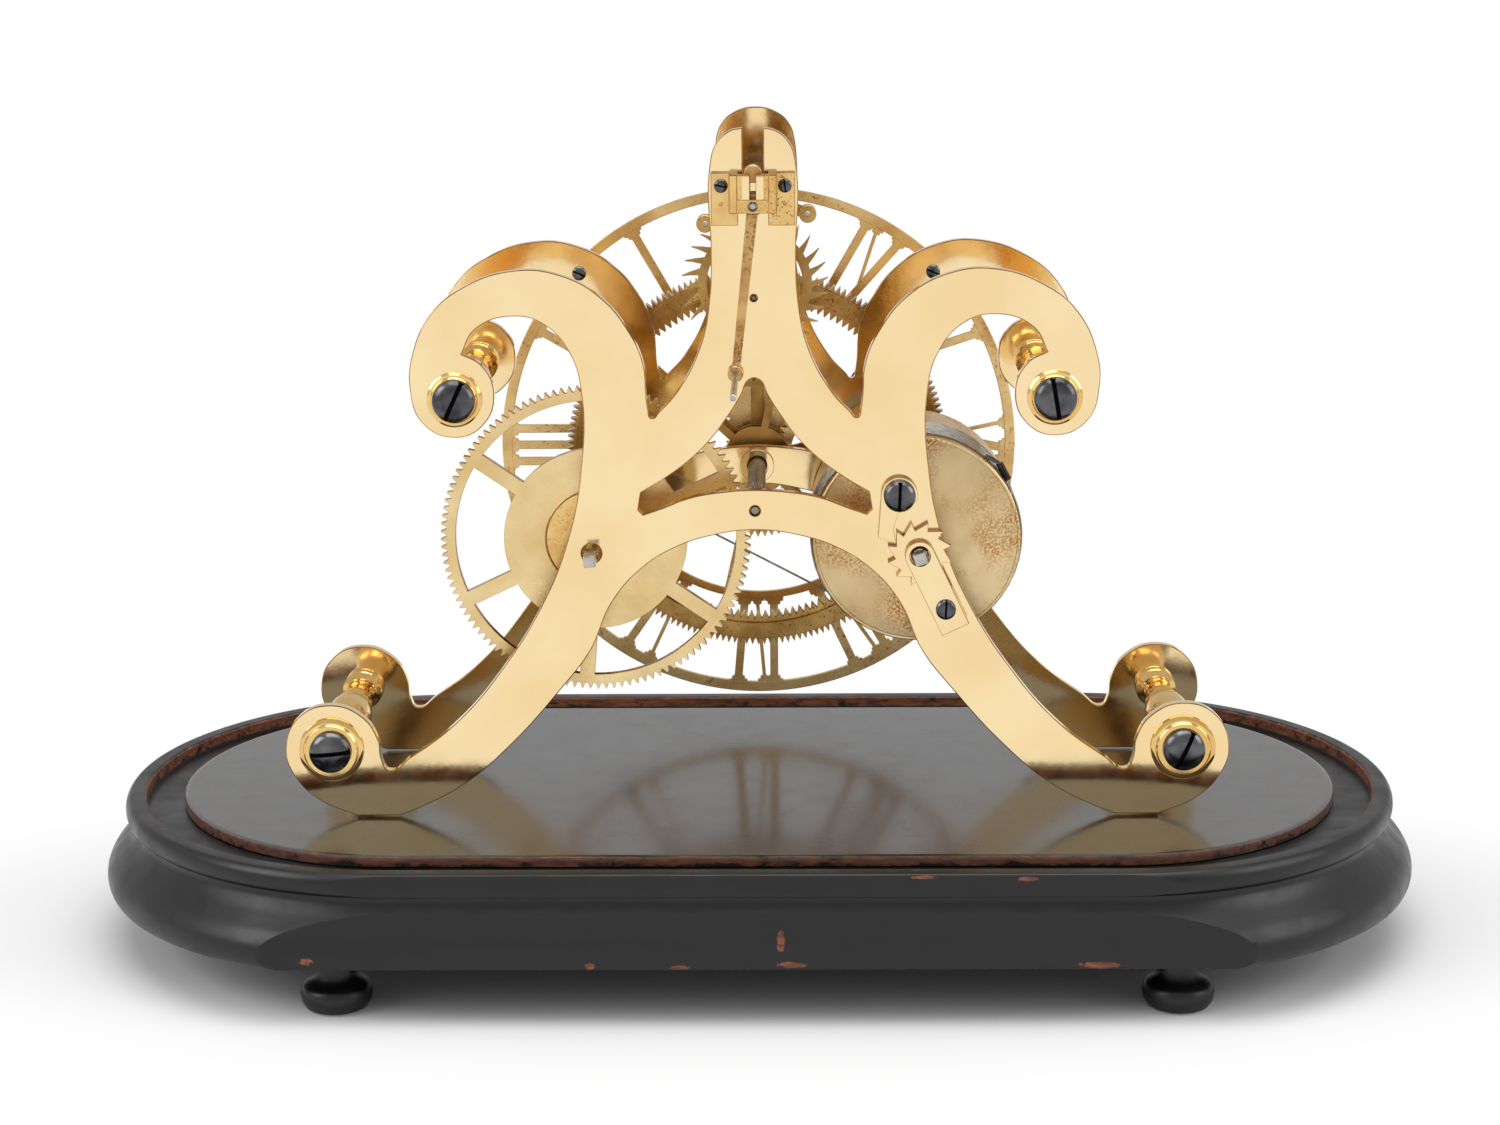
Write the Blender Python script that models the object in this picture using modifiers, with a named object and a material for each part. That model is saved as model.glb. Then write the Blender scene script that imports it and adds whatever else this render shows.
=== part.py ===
"""Skeleton clock with a fusee movement on an oval ebonised base.

Metres, +Z up. The dial faces +Y and the back of the movement faces -Y, so +X is on the right for
someone behind the clock. The origin is on the ground under the middle of the base. The movement is
placed in the frame of an empty on the centre arbor, at the back face of the rear plate: there X and Z
are measured from the centre arbor, and Y runs from the rear plate towards the dial.
"""

import math

import bmesh
import bpy
from mathutils import Vector

COLLECTION = "skeleton_clock"

# Clearances and general values
SEAT_GAP = 0.0003
OVERRUN = 0.0010
WELD_DISTANCE = 0.000002
OVERLAP = 0.0002
PIVOT_PLAY = 0.0003
SHARP_ANGLE = math.radians(32)
FLAT_ANGLE = math.radians(0.2)

# Counts of facets
FINE_SEGMENTS = 18
ROUND_SEGMENTS = 10
SMALL_SEGMENTS = 8
HOLE_SEGMENTS = 6
WINDOW_STEPS = 3
SMALL_WINDOW_STEPS = 2

# Where the movement stands over the middle of the base
PLATE_BACK_Y = -0.0385

# Base
BASE_HALF_LENGTH = 0.1804
BASE_HALF_WIDTH = 0.0883
BASE_STRAIGHT_HALF = 0.0967
BASE_BOTTOM_Z = 0.0165
BASE_HEIGHT = 0.0264
BASE_END_POINTS = 8
MOULDING_OUT = 0.0070
RIM_WIDTH = 0.0050
DOME_GROOVE_WIDTH = 0.0105
BOARD_HEIGHT = 0.0031
# Each pair is a share of the moulding's reach and a share of the base's height, from the bottom up.
moulding_shares = (
    (0.72, 0.0), (0.95, 0.07), (1.0, 0.20), (0.86, 0.33), (0.43, 0.46), (0.0, 0.57),
    (-0.26, 0.70), (-0.05, 0.77), (0.13, 0.84), (0.09, 0.94), (-0.12, 1.0),
)
FLAT_SIDE_INSET = 0.0002
BOARD_EDGE = 0.0008
# Each foot stands past the end of the straight part of a side, and in from that side.
FOOT_PAST_STRAIGHT = 0.0163
FOOT_INSET = 0.0168
FOOT_RADIUS = 0.0097
foot_profile_shares = (
    (0.0, 0.0), (0.72, 0.0), (1.0, 0.20), (0.97, 0.40), (0.77, 0.56), (0.54, 0.68), (0.67, 1.0),
    (0.0, 1.0),
)

# Plates: an outline drawn for the half on +X, from the top of the column round to the arch.
PLATE_THICKNESS = 0.0030
PLATE_SPACING = 0.0607
PLATE_HALF_WIDTH = 0.1298
COLUMN_TOP = 0.1024
FOOT_DROP = 0.0858
# The feet of the plates rest on the base, which sets the height of the centre arbor.
CENTRE_HEIGHT = BASE_BOTTOM_Z + BASE_HEIGHT + SEAT_GAP + FOOT_DROP
PLATE_CURVE_STEPS = 2
OUTLINE_TOLERANCE = 0.00060
# Each row is a share of the plate's half width, a share of the column's height above the centre
# arbor, or of the feet's drop below it, and 1 where the outline has a corner. The rear plate's column
# is slotted from the top for the pendulum's suspension; the front plate's is whole.
slotted_top_shares = ((0.021, 0.865, 1), (0.021, 1.003, 1))
whole_top_shares = ((0.0, 1.010, 0),)
plate_outline_shares = (
    (0.046, 0.996, 0), (0.074, 0.965, 0), (0.087, 0.915, 0), (0.087, 0.664, 0), (0.091, 0.560, 0),
    (0.111, 0.437, 0), (0.164, 0.311, 0), (0.200, 0.262, 0), (0.208, 0.250, 0), (0.216, 0.252, 0),
    (0.219, 0.270, 0), (0.222, 0.298, 0), (0.229, 0.398, 0), (0.259, 0.483, 0),
    (0.315, 0.569, 0), (0.396, 0.626, 0), (0.488, 0.639, 0), (0.601, 0.592, 0), (0.664, 0.525, 0),
    (0.704, 0.420, 0), (0.711, 0.327, 0), (0.688, 0.239, 0), (0.624, 0.199, 0), (0.562, 0.231, 0),
    (0.537, 0.318, 0), (0.562, 0.392, 0), (0.602, 0.421, 1), (0.573, 0.485, 0), (0.490, 0.519, 0),
    (0.429, 0.495, 0), (0.379, 0.420, 0), (0.358, 0.325, 0), (0.361, 0.112, 0), (0.393, -0.101, 0),
    (0.442, -0.285, 0), (0.540, -0.523, 0), (0.639, -0.695, 0), (0.736, -0.806, 0),
    (0.782, -0.848, 0), (0.796, -0.815, 0), (0.803, -0.745, 0), (0.834, -0.671, 0),
    (0.902, -0.631, 0), (0.971, -0.672, 0), (1.0, -0.779, 0), (0.983, -0.868, 0),
    (0.935, -0.945, 0), (0.854, -1.0, 1), (0.762, -1.0, 1), (0.719, -0.975, 0),
    (0.621, -0.895, 0), (0.523, -0.768, 0), (0.412, -0.580, 0), (0.349, -0.455, 0),
    (0.301, -0.295, 0), (0.241, -0.189, 0), (0.168, -0.118, 0), (0.084, -0.077, 0),
    (0.0, -0.062, 0),
)
triangle_outline_shares = (
    (0.009, 0.351, 0), (0.028, 0.307, 0), (0.057, 0.249, 0), (0.090, 0.193, 0), (0.134, 0.138, 0),
    (0.187, 0.088, 0), (0.237, 0.050, 1), (0.243, 0.004, 1), (0.233, -0.011, 1), (0.198, 0.006, 0),
    (0.135, 0.036, 0), (0.073, 0.050, 0), (0.0, 0.056, 0),
)
# Places of the pillars, as shares of the same two sizes.
upper_pillar_shares = (0.619, 0.301)
lower_pillar_shares = (0.902, -0.778)

# Pillars, their screws and washers
PILLAR_RADIUS = 0.0063
# Each pair is a share of the pillar's radius and a share of half its length, from its end.
pillar_profile_shares = (
    (0.92, 0.0), (0.92, 0.09), (0.55, 0.17), (0.80, 0.62), (0.58, 0.68), (0.94, 0.83),
)
SCREW_SHANK_RADIUS = 0.0018
SCREW_SHANK_LENGTH = 0.0110
SCREW_HEAD_RADIUS = 0.0057
SCREW_HEAD_HEIGHT = 0.0028
SCREW_SLOT_WIDTH = 0.0011
SCREW_SLOT_DEPTH = 0.0013
screw_head_shares = ((0.97, 0.0), (0.80, 0.80))
WASHER_HEIGHT = 0.0018
UPPER_WASHER_RADIUS = 0.0074
LOWER_WASHER_RADIUS = 0.0089
washer_rim_shares = ((1.0, 0.0), (1.0, 0.5), (0.84, 1.0))
screw_slot_angles = (math.radians(65), math.radians(100), math.radians(5), math.radians(65))

# Great wheel and fusee
GREAT_TEETH = 120
CENTRE_LEAVES = 10
GREAT_MODULE = 0.000706
GREAT_ARBOR_ANGLE = math.radians(194.65)
# Each row of a tooth form is an offset from the pitch circle in modules, and the tooth's half
# thickness there as a share of its pitch.
great_tooth_shares = ((-2.00, 0.5), (0.90, 0.0))
centre_leaf_shares = ((-1.10, 0.20), (0.85, 0.09))
GREAT_WHEEL_Y = 0.0180
GREAT_WHEEL_THICKNESS = 0.0025
GREAT_RIM_RADIUS = 0.0389
GREAT_DISC_RADIUS = 0.0254
GREAT_SPOKES = 6
GREAT_SPOKE_WIDTH = 0.0040
GREAT_SPOKE_ANGLE = math.radians(25.5)
GREAT_RECESS_RADIUS = 0.0138
GREAT_COLLET_RADIUS = 0.0083
GREAT_RECESS_DEPTH = 0.0010
FUSEE_ARBOR_RADIUS = 0.0017
FUSEE_SQUARE_WIDTH = 0.0032
FUSEE_SQUARE_REACH = 0.0105
FUSEE_SQUARE_FOOT = 0.0008
FUSEE_HOLE_RADIUS = 0.0027
FUSEE_FLANGE_RADIUS = 0.0246
FUSEE_FLANGE_THICKNESS = 0.0012
FUSEE_LARGE_RADIUS = 0.0215
FUSEE_SMALL_RADIUS = 0.0090
FUSEE_LENGTH = 0.0285
FUSEE_TURNS = 4
FUSEE_GROOVE_DEPTH = 0.0006
FUSEE_END_RADIUS = 0.0120
FUSEE_END_THICKNESS = 0.0016
FUSEE_PIVOT_RADIUS = 0.0012

# Spring barrel
BARREL_RADIUS = 0.0287
BARREL_WALL = 0.0015
BARREL_Y = 0.0160
BARREL_LENGTH = 0.0440
BARREL_COVER_THICKNESS = 0.0017
BARREL_COVER_LEDGE = 0.0007
BARREL_ARBOR_RADIUS = 0.0023
BARREL_CORE_RADIUS = 0.0060
BARREL_SQUARE_WIDTH = 0.0034
BARREL_REACH = 0.0090
BARREL_STEM_RADIUS = 0.0021
BARREL_PIVOT_RADIUS = 0.0014
SPRING_COILS = 2
SPRING_COIL_POINTS = 9
SPRING_THICKNESS = 0.0006
SPRING_END_GAP = 0.0010

# Line between fusee and barrel: the loops on each, and where the straight run leaves them
LINE_RADIUS = 0.0004
LINE_CLEARANCE = 0.0003
LINE_LOOP_POINTS = 24
FUSEE_LINE_LOOPS = 2
BARREL_LINE_LOOPS = 3.4167
LINE_FUSEE_START = 0.0026
LINE_FUSEE_LEAVES = 0.0155
LINE_BARREL_ARRIVES = 0.0225
LINE_BARREL_END = 0.0034
LINE_END_RUN = 0.0009
HOOK_RADIUS = 0.0011
HOOK_LENGTH = 0.0052
HOOK_STEM_RADIUS = 0.0006
HOOK_STEM_LENGTH = 0.0040

# Set-up ratchet, click and bridge behind the rear plate
RATCHET_TEETH = 12
RATCHET_TIP_RADIUS = 0.0088
RATCHET_ROOT_RADIUS = 0.0066
RATCHET_THICKNESS = 0.0023
RATCHET_PHASE = math.radians(15.5)
RATCHET_UNDERCUT = math.radians(4.5)
CLICK_X = 0.0389
CLICK_Z = 0.0046
CLICK_END_RADIUS = 0.0049
CLICK_HOLE_RADIUS = 0.0019
CLICK_WIDTH = 0.0090
CLICK_DROP = 0.0125
# Each pair is a share of the click's width from its pivot, and a share of its drop below it.
click_tail_shares = ((-0.044, -0.40), (-0.183, -0.76), (-0.128, -1.088), (-0.656, -0.928))
CLICK_SCREW_HEAD_RADIUS = 0.0043
CLICK_SCREW_HEAD_HEIGHT = 0.0026
CLICK_SCREW_SHANK = 0.0016
BRIDGE_WIDTH = 0.0080
BRIDGE_LENGTH = 0.0226
BRIDGE_THICKNESS = 0.0023
BRIDGE_ANGLE = math.radians(-64.4)
BRIDGE_FOOT_LENGTH = 0.0098
BRIDGE_SCREW_PLACE = 0.0163
BRIDGE_SCREW_HEAD_RADIUS = 0.0027
BRIDGE_SCREW_HEAD_HEIGHT = 0.0012
SMALL_SHANK_RADIUS = 0.0010

# Centre arbor and the parts that it carries
CENTRE_ARBOR_RADIUS = 0.0026
CENTRE_FRONT_RADIUS = 0.0023
CENTRE_HAND_RADIUS = 0.0016
CENTRE_PIVOT_RADIUS = 0.0011
CENTRE_ARBOR_END_Y = 0.1040
CENTRE_BUSH_RADIUS = 0.0027
CENTRE_PINION_LENGTH = 0.0045
CENTRE_STEP_Y = 0.0620

# Ring wheel, planet and fixed sun wheel in front of the front plate
RING_OUTER_TEETH = 196
ESCAPE_LEAVES = 7
ESCAPE_MODULE = 0.0005695
ring_outer_tooth_shares = ((-2.60, 0.5), (0.69, 0.0))
escape_leaf_shares = ((-1.40, 0.16), (0.65, 0.08))
RING_INNER_TEETH = 144
PLANET_TEETH = 64
RING_INNER_MODULE = 0.00065
ring_inner_tooth_shares = ((2.46, 0.5), (-0.77, 0.0))
planet_tooth_shares = ((-2.15, 0.5), (0.77, 0.0))
SUN_TEETH = 72
PLANET_LEAVES = 7
sun_tooth_shares = ((-1.90, 0.5), (0.69, 0.0))
planet_leaf_shares = ((-1.40, 0.16), (0.55, 0.08))
RING_Y = 0.0730
RING_THICKNESS = 0.0028
RING_ARM_THICKNESS = 0.0014
RING_ARM_WIDTH = 0.0022
RING_ARMS = 6
RING_ARM_ANGLE = math.radians(17.2)
RING_HUB_RADIUS = 0.0100
RING_BAND_MARGIN = 0.0009
PLANET_ANGLE = math.radians(0)
PLANET_ARM_Y = 0.0733
PLANET_ARM_THICKNESS = 0.0011
PLANET_ARM_HUB_RADIUS = 0.0050
PLANET_ARM_END_RADIUS = 0.0030
PLANET_WHEEL_THICKNESS = 0.0014
PLANET_PIVOT_RADIUS = 0.0008
SUN_Y = 0.0772
SUN_THICKNESS = 0.0015
SUN_HUB_RADIUS = 0.0097
SUN_RIM_WIDTH = 0.0013
SUN_SPOKES = 4
SUN_SPOKE_WIDTH = 0.0030
SUN_SPOKE_ANGLE = math.radians(45)

# Escape wheel, pallets and crutch
ESCAPE_TEETH = 30
ESCAPE_TIP_RADIUS = 0.0202
ESCAPE_ROOT_RADIUS = 0.0156
ESCAPE_RIM_RADIUS = 0.0132
ESCAPE_HUB_RADIUS = 0.0042
ESCAPE_SPOKES = 5
ESCAPE_SPOKE_WIDTH = 0.0018
ESCAPE_PHASE = math.radians(5.2)
ESCAPE_Y = 0.0272
ESCAPE_THICKNESS = 0.0016
ESCAPE_ARBOR_RADIUS = 0.0010
ESCAPE_PIVOT_RADIUS = 0.0006
ESCAPE_PINION_LENGTH = 0.0040
ESCAPE_PASSAGE_RADIUS = 0.0034
# Each row of an escape tooth is a share of its depth, and an angle before its tip in degrees.
escape_tooth_shares = ((0.0, 8.5), (1.0, 0.1), (0.0, 3.6))
PALLET_ARBOR_Z = 0.0829
PALLET_RADIUS = 0.01545
PALLET_PIN_RADIUS = 0.00075
PALLET_PIN_LENGTH = 0.0080
PALLET_MIDDLE_ANGLE = math.radians(65)
PALLET_REST_ANGLE = math.radians(5.2)
PALLET_BOSS_RADIUS = 0.0024
PALLET_BOSS_LENGTH = 0.0040
PALLET_Y = 0.0222
PALLET_THICKNESS = 0.0020
PALLET_HUB_RADIUS = 0.0038
PALLET_ARM_WIDTH = 0.0034
PALLET_ARBOR_RADIUS = 0.0013
PALLET_PIVOT_RADIUS = 0.0008
PALLET_PASSAGE_RADIUS = 0.0030
CRUTCH_Y = -0.0026
CRUTCH_THICKNESS = 0.0012
CRUTCH_REST_ANGLE = math.radians(6.26)
CRUTCH_LENGTH = 0.0454
CRUTCH_TOP_WIDTH = 0.0030
CRUTCH_END_WIDTH = 0.0021
CRUTCH_HUB_RADIUS = 0.0028
CRUTCH_BOSS_RADIUS = 0.0021
CRUTCH_PIN_RADIUS = 0.00085
CRUTCH_PIN_LENGTH = 0.0370

# Suspension cock on the column
COCK_HALF_WIDTH = 0.0111
COCK_TOP_Z = 0.0912
COCK_FOOT_BOTTOM_Z = 0.0773
COCK_FOOT_THICKNESS = 0.0023
COCK_BLOCK_HALF_WIDTH = 0.0063
COCK_BLOCK_BOTTOM_Z = 0.0810
COCK_BLOCK_THICKNESS = 0.0042
COCK_CAVITY_HALF_WIDTH = 0.0040
COCK_REACH = 0.0082
COCK_SLOT_HALF_WIDTH = 0.0008
COCK_SLOT_BOTTOM_Z = 0.0845
COCK_SCREW_X = 0.0084
COCK_SCREW_Z = 0.0878
COCK_SCREW_HEAD_RADIUS = 0.0018
COCK_SCREW_HEAD_HEIGHT = 0.0009

# Front cock: a bar over the ring wheel that carries the sun wheel and the escape arbor's front pivot
FRONT_COCK_Y = 0.0790
FRONT_COCK_THICKNESS = 0.0024
FRONT_COCK_WIDTH = 0.0036
FRONT_COCK_HUB_RADIUS = 0.0068
FRONT_COCK_PAD_RADIUS = 0.0034
FRONT_COCK_FOOT_LOW_Z = 0.0610
FRONT_COCK_FOOT_TOP_Z = 0.0760
FRONT_COCK_FOOT_HALF_WIDTH = 0.0060
FRONT_COCK_SCREW_Z = 0.0705
FRONT_COCK_SCREW_RADIUS = 0.0030
FRONT_COCK_SCREW_HEIGHT = 0.0020
FRONT_COCK_SCREW_SHANK = 0.0014

# Motion work and hands
MOTION_MODULE = 0.0005
CANNON_LEAVES = 12
MINUTE_WHEEL_TEETH = 36
MINUTE_LEAVES = 10
HOUR_WHEEL_TEETH = 40
cannon_leaf_shares = ((-1.20, 0.21), (0.80, 0.09))
minute_wheel_tooth_shares = ((-2.00, 0.5), (0.80, 0.0))
minute_leaf_shares = ((-1.20, 0.21), (0.75, 0.09))
hour_wheel_tooth_shares = ((-2.00, 0.5), (0.79, 0.0))
MOTION_Y = 0.0822
MOTION_THICKNESS = 0.0012
MOTION_STUD_RADIUS = 0.0009
MOTION_STUD_LENGTH = 0.0066
CANNON_PIPE_RADIUS = 0.0022
HOUR_PIPE_RADIUS = 0.0032
HOUR_HAND_Y = 0.0994
MINUTE_HAND_Y = 0.1010
HAND_THICKNESS = 0.0007
HOUR_HAND_LENGTH = 0.0450
MINUTE_HAND_LENGTH = 0.0700
HOUR_HAND_ANGLE = math.radians(30.5)
MINUTE_HAND_ANGLE = math.radians(96)
HAND_HUB_RADIUS = 0.0048
HAND_SHANK_WIDTH = 0.0014
HAND_LOOP_RADIUS = 0.0040
HAND_LOOP_WIDTH = 0.0010
HAND_LOOP_SEGMENTS = 8
hand_loop_share = 0.822
hand_tip_share = 0.35

# Pierced dial
DIAL_Y = 0.0970
DIAL_THICKNESS = 0.0014
DIAL_RADIUS = 0.0774
DIAL_OUTER_BAND = 0.0031
DIAL_INNER_RADIUS = 0.0457
DIAL_INNER_BAND = 0.0023
DIAL_SEGMENTS = 30
THICK_STROKE = 0.0025
THIN_STROKE = 0.0011
V_OUTER_HALF = 0.0042
V_INNER_HALF = 0.0018
X_OUTER_HALF = 0.0042
X_INNER_HALF = 0.0016
STROKE_INSET = 0.0001
ADVANCE_I = 0.0050
ADVANCE_V = 0.0090
ADVANCE_X = 0.0098
DIAL_FOOT_RADIUS = 0.0014
dial_feet_degrees = (48.0, 132.0, 219.0, 321.0)

NUMERALS = ("I", "II", "III", "IIII", "V", "VI", "VII", "VIII", "IX", "X", "XI", "XII")


def clear_scene():
    """Remove what the open scene holds."""
    for obj in list(bpy.data.objects):
        bpy.data.objects.remove(obj, do_unlink=True)


def make_material(name, colour, metallic, roughness):
    material = bpy.data.materials.new(name)
    material.use_nodes = True
    shader = material.node_tree.nodes["Principled BSDF"]
    shader.inputs["Base Color"].default_value = (*colour, 1.0)
    shader.inputs["Metallic"].default_value = metallic
    shader.inputs["Roughness"].default_value = roughness
    return material


clear_scene()
collection = bpy.data.collections.new(COLLECTION)
bpy.context.scene.collection.children.link(collection)

movement = bpy.data.objects.new("movement_frame", None)
movement.location = (0, PLATE_BACK_Y, CENTRE_HEIGHT)
collection.objects.link(movement)

# One colour for each kind of stuff; every part gets a material of its own from it.
BRASS = ((0.86, 0.66, 0.33), 1.0, 0.18)
TARNISHED = ((0.55, 0.37, 0.20), 1.0, 0.35)
STEEL = ((0.55, 0.55, 0.57), 1.0, 0.25)
BLUED = ((0.03, 0.035, 0.07), 1.0, 0.25)
EBONISED = ((0.012, 0.010, 0.010), 0.0, 0.30)
BOARD = ((0.05, 0.04, 0.038), 0.0, 0.22)


# Building blocks

def add_object(name, data, location=(0, 0, 0), rotation=(0, 0, 0)):
    obj = bpy.data.objects.new(name, data)
    obj.location = location
    obj.rotation_euler = rotation
    collection.objects.link(obj)
    return obj


def bake(obj):
    """Give the object its evaluated shape as a plain mesh, with its modifiers done."""
    bpy.context.view_layer.update()
    evaluated = obj.evaluated_get(bpy.context.evaluated_depsgraph_get())
    mesh = bpy.data.meshes.new_from_object(evaluated)
    mesh.name = obj.name
    if obj.type == "CURVE":
        solid = add_object(obj.name + "_solid", mesh, obj.location, obj.rotation_euler)
        name = obj.name
        bpy.data.objects.remove(obj, do_unlink=True)
        solid.name = name
        obj = solid
    else:
        obj.modifiers.clear()
        obj.data = mesh
    work = bmesh.new()
    work.from_mesh(mesh)
    bmesh.ops.remove_doubles(work, verts=work.verts, dist=WELD_DISTANCE)
    bmesh.ops.dissolve_degenerate(work, edges=work.edges, dist=WELD_DISTANCE)
    bmesh.ops.dissolve_limit(work, angle_limit=FLAT_ANGLE, verts=work.verts, edges=work.edges)
    work.to_mesh(mesh)
    work.free()
    mesh.shade_smooth()
    mesh.set_sharp_from_angle(angle=SHARP_ANGLE)
    return obj


def add_boolean(target, other, operation):
    boolean = target.modifiers.new(operation.lower(), "BOOLEAN")
    boolean.operation = operation
    boolean.object = other
    boolean.solver = "EXACT"
    target = bake(target)
    bpy.data.objects.remove(other, do_unlink=True)
    return target


def join(target, *others):
    for other in others:
        target = add_boolean(target, other, "UNION")
    return target


def cut(target, *cutters):
    for cutter in cutters:
        target = add_boolean(target, cutter, "DIFFERENCE")
    return target


def polar(radius, angle, centre=(0, 0)):
    return (centre[0] + radius * math.cos(angle), centre[1] + radius * math.sin(angle))


def circle(radius, centre=(0, 0), segments=HOLE_SEGMENTS):
    return [polar(radius, math.tau * k / segments, centre) for k in range(segments)]


def round_hole(radius, centre=(0, 0)):
    """A hole's outline with its flats at the radius, so that what runs in it keeps its play."""
    return circle(radius / math.cos(math.pi / HOLE_SEGMENTS), centre)


def flat(name, outlines, start_y, thickness, place=(0, 0)):
    """A flat piece: outlines in X and Z about its place, the first the rim and the rest holes."""
    curve = bpy.data.curves.new(name, "CURVE")
    curve.dimensions = "2D"
    curve.fill_mode = "BOTH"
    curve.extrude = thickness / 2
    for outline in outlines:
        spline = curve.splines.new("POLY")
        spline.points.add(len(outline) - 1)
        for point, (x, z) in zip(spline.points, outline):
            point.co = (x, z, 0, 1)
        spline.use_cyclic_u = True
    where = (place[0], start_y + thickness / 2, place[1])
    return bake(add_object(name, curve, where, (math.pi / 2, 0, 0)))


def turned(name, profile, place=(0, 0), ring=False, segments=SMALL_SEGMENTS):
    """A turned piece along Y: pairs of radius and y, from the back to the front.

    A ring's profile is a loop: its outer side from back to front, then its bore back again.
    """
    mesh = bpy.data.meshes.new(name)
    points = [(radius, 0, y) for radius, y in reversed(profile)]
    edges = [(k, k + 1) for k in range(len(points) - 1)]
    if ring:
        edges.append((len(points) - 1, 0))
    mesh.from_pydata(points, edges, [])
    obj = add_object(name, mesh, (place[0], 0, place[1]), (-math.pi / 2, 0, 0))
    screw = obj.modifiers.new("turn", "SCREW")
    screw.axis = "Z"
    screw.angle = math.tau
    screw.steps = segments
    screw.render_steps = segments
    screw.use_merge_vertices = True
    screw.merge_threshold = WELD_DISTANCE
    screw.use_smooth_shade = True
    return bake(obj)


def rod(name, radius, start_y, end_y, place=(0, 0), segments=SMALL_SEGMENTS):
    return turned(name, [(0, start_y), (radius, start_y), (radius, end_y), (0, end_y)], place,
                  segments=segments)


def box(name, low, high, turn=0.0, pivot=(0, 0)):
    """A box between two corners in the movement's frame, turned about Y at the pivot."""
    mesh = bpy.data.meshes.new(name)
    work = bmesh.new()
    bmesh.ops.create_cube(work, size=1)
    middle = [(a + b) / 2 for a, b in zip(low, high)]
    for vert in work.verts:
        vert.co = Vector([(b - a) * c + m for a, b, c, m in zip(low, high, vert.co, middle)])
        vert.co.x -= pivot[0]
        vert.co.z -= pivot[1]
    work.to_mesh(mesh)
    work.free()
    return add_object(name, mesh, (pivot[0], 0, pivot[1]), (0, -turn, 0))


def finish(obj, stuff, parent=movement, name=None):
    """Name the piece, give it its own material and set it in its frame."""
    if name:
        obj.name = name
    colour, metallic, roughness = stuff
    if not obj.data.materials:
        obj.data.materials.append(make_material(obj.name, colour, metallic, roughness))
    obj.parent = parent
    return obj


# Toothed outlines

def toothed(teeth, module, tooth_shares, phase=0.0):
    """Outline of a wheel or pinion with a tooth centred on the angle of its phase."""
    pitch = math.tau / teeth
    pitch_radius = module * teeth / 2
    outline = []
    for tooth in range(teeth):
        middle = phase + tooth * pitch
        side = [(pitch_radius + offset * module, share * pitch) for offset, share in tooth_shares]
        rising = [polar(radius, middle - half) for radius, half in side]
        falling = [polar(radius, middle + half) for radius, half in reversed(side)]
        if tooth_shares[-1][1] == 0:
            falling = falling[1:]
        if tooth_shares[0][1] == 0.5:
            falling = falling[:-1]
        outline += rising + falling
    return outline


def meshing_phase(phase, teeth, other_teeth, direction):
    """Phase of a pinion outside a wheel, at a direction from it, with its tooth in the wheel's gap."""
    ahead = ((direction - phase) / (math.tau / teeth)) % 1
    return direction + math.pi + (ahead - 0.5) * math.tau / other_teeth


def inner_meshing_phase(phase, teeth, other_teeth, direction):
    """The same for a wheel that turns inside a ring."""
    ahead = ((direction - phase) / (math.tau / teeth)) % 1
    return direction + (0.5 - ahead) * math.tau / other_teeth


def window(inner, outer, start, end, width, steps):
    """Opening between two spokes: arcs on two radii, its sides half a spoke's width off each spoke."""
    def edge(radius, angle, side):
        return angle + side * math.asin(width / 2 / radius)
    outside = [edge(outer, start, 1), edge(outer, end, -1)]
    inside = [edge(inner, start, 1), edge(inner, end, -1)]
    far = [polar(outer, outside[0] + (outside[1] - outside[0]) * k / steps) for k in range(steps + 1)]
    near = [polar(inner, inside[1] + (inside[0] - inside[1]) * k / steps) for k in range(steps + 1)]
    return far + near


def windows(inner, outer, spokes, width, angle, steps=WINDOW_STEPS):
    step = math.tau / spokes
    return [window(inner, outer, angle + k * step, angle + (k + 1) * step, width, steps)
            for k in range(spokes)]


# Places worked out from the gears
GREAT_DISTANCE = GREAT_MODULE * (GREAT_TEETH + CENTRE_LEAVES) / 2
GREAT_PLACE = polar(GREAT_DISTANCE, GREAT_ARBOR_ANGLE)
BARREL_PLACE = (-GREAT_PLACE[0], GREAT_PLACE[1])
ESCAPE_DISTANCE = ESCAPE_MODULE * (RING_OUTER_TEETH + ESCAPE_LEAVES) / 2
ESCAPE_PLACE = (0, ESCAPE_DISTANCE)
ORBIT_RADIUS = RING_INNER_MODULE * (RING_INNER_TEETH - PLANET_TEETH) / 2
PLANET_PLACE = polar(ORBIT_RADIUS, PLANET_ANGLE)
SUN_MODULE = 2 * ORBIT_RADIUS / (SUN_TEETH + PLANET_LEAVES)
MOTION_DISTANCE = MOTION_MODULE * (CANNON_LEAVES + MINUTE_WHEEL_TEETH) / 2
MOTION_PLACE = (0, MOTION_DISTANCE)
HOUR_MODULE = 2 * MOTION_DISTANCE / (MINUTE_LEAVES + HOUR_WHEEL_TEETH)
PALLET_PLACE = (0, PALLET_ARBOR_Z)
FRONT_PLATE_Y = PLATE_THICKNESS + PLATE_SPACING
FRONT_FACE_Y = FRONT_PLATE_Y + PLATE_THICKNESS


def plate_point(x_share, z_share):
    height = COLUMN_TOP if z_share > 0 else FOOT_DROP
    return (x_share * PLATE_HALF_WIDTH, z_share * height)


UPPER_PILLAR = plate_point(*upper_pillar_shares)
LOWER_PILLAR = plate_point(*lower_pillar_shares)
PILLAR_PLACES = {
    "upper_left": (-UPPER_PILLAR[0], UPPER_PILLAR[1]),
    "upper_right": UPPER_PILLAR,
    "lower_left": (-LOWER_PILLAR[0], LOWER_PILLAR[1]),
    "lower_right": LOWER_PILLAR,
}


# Base

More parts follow.
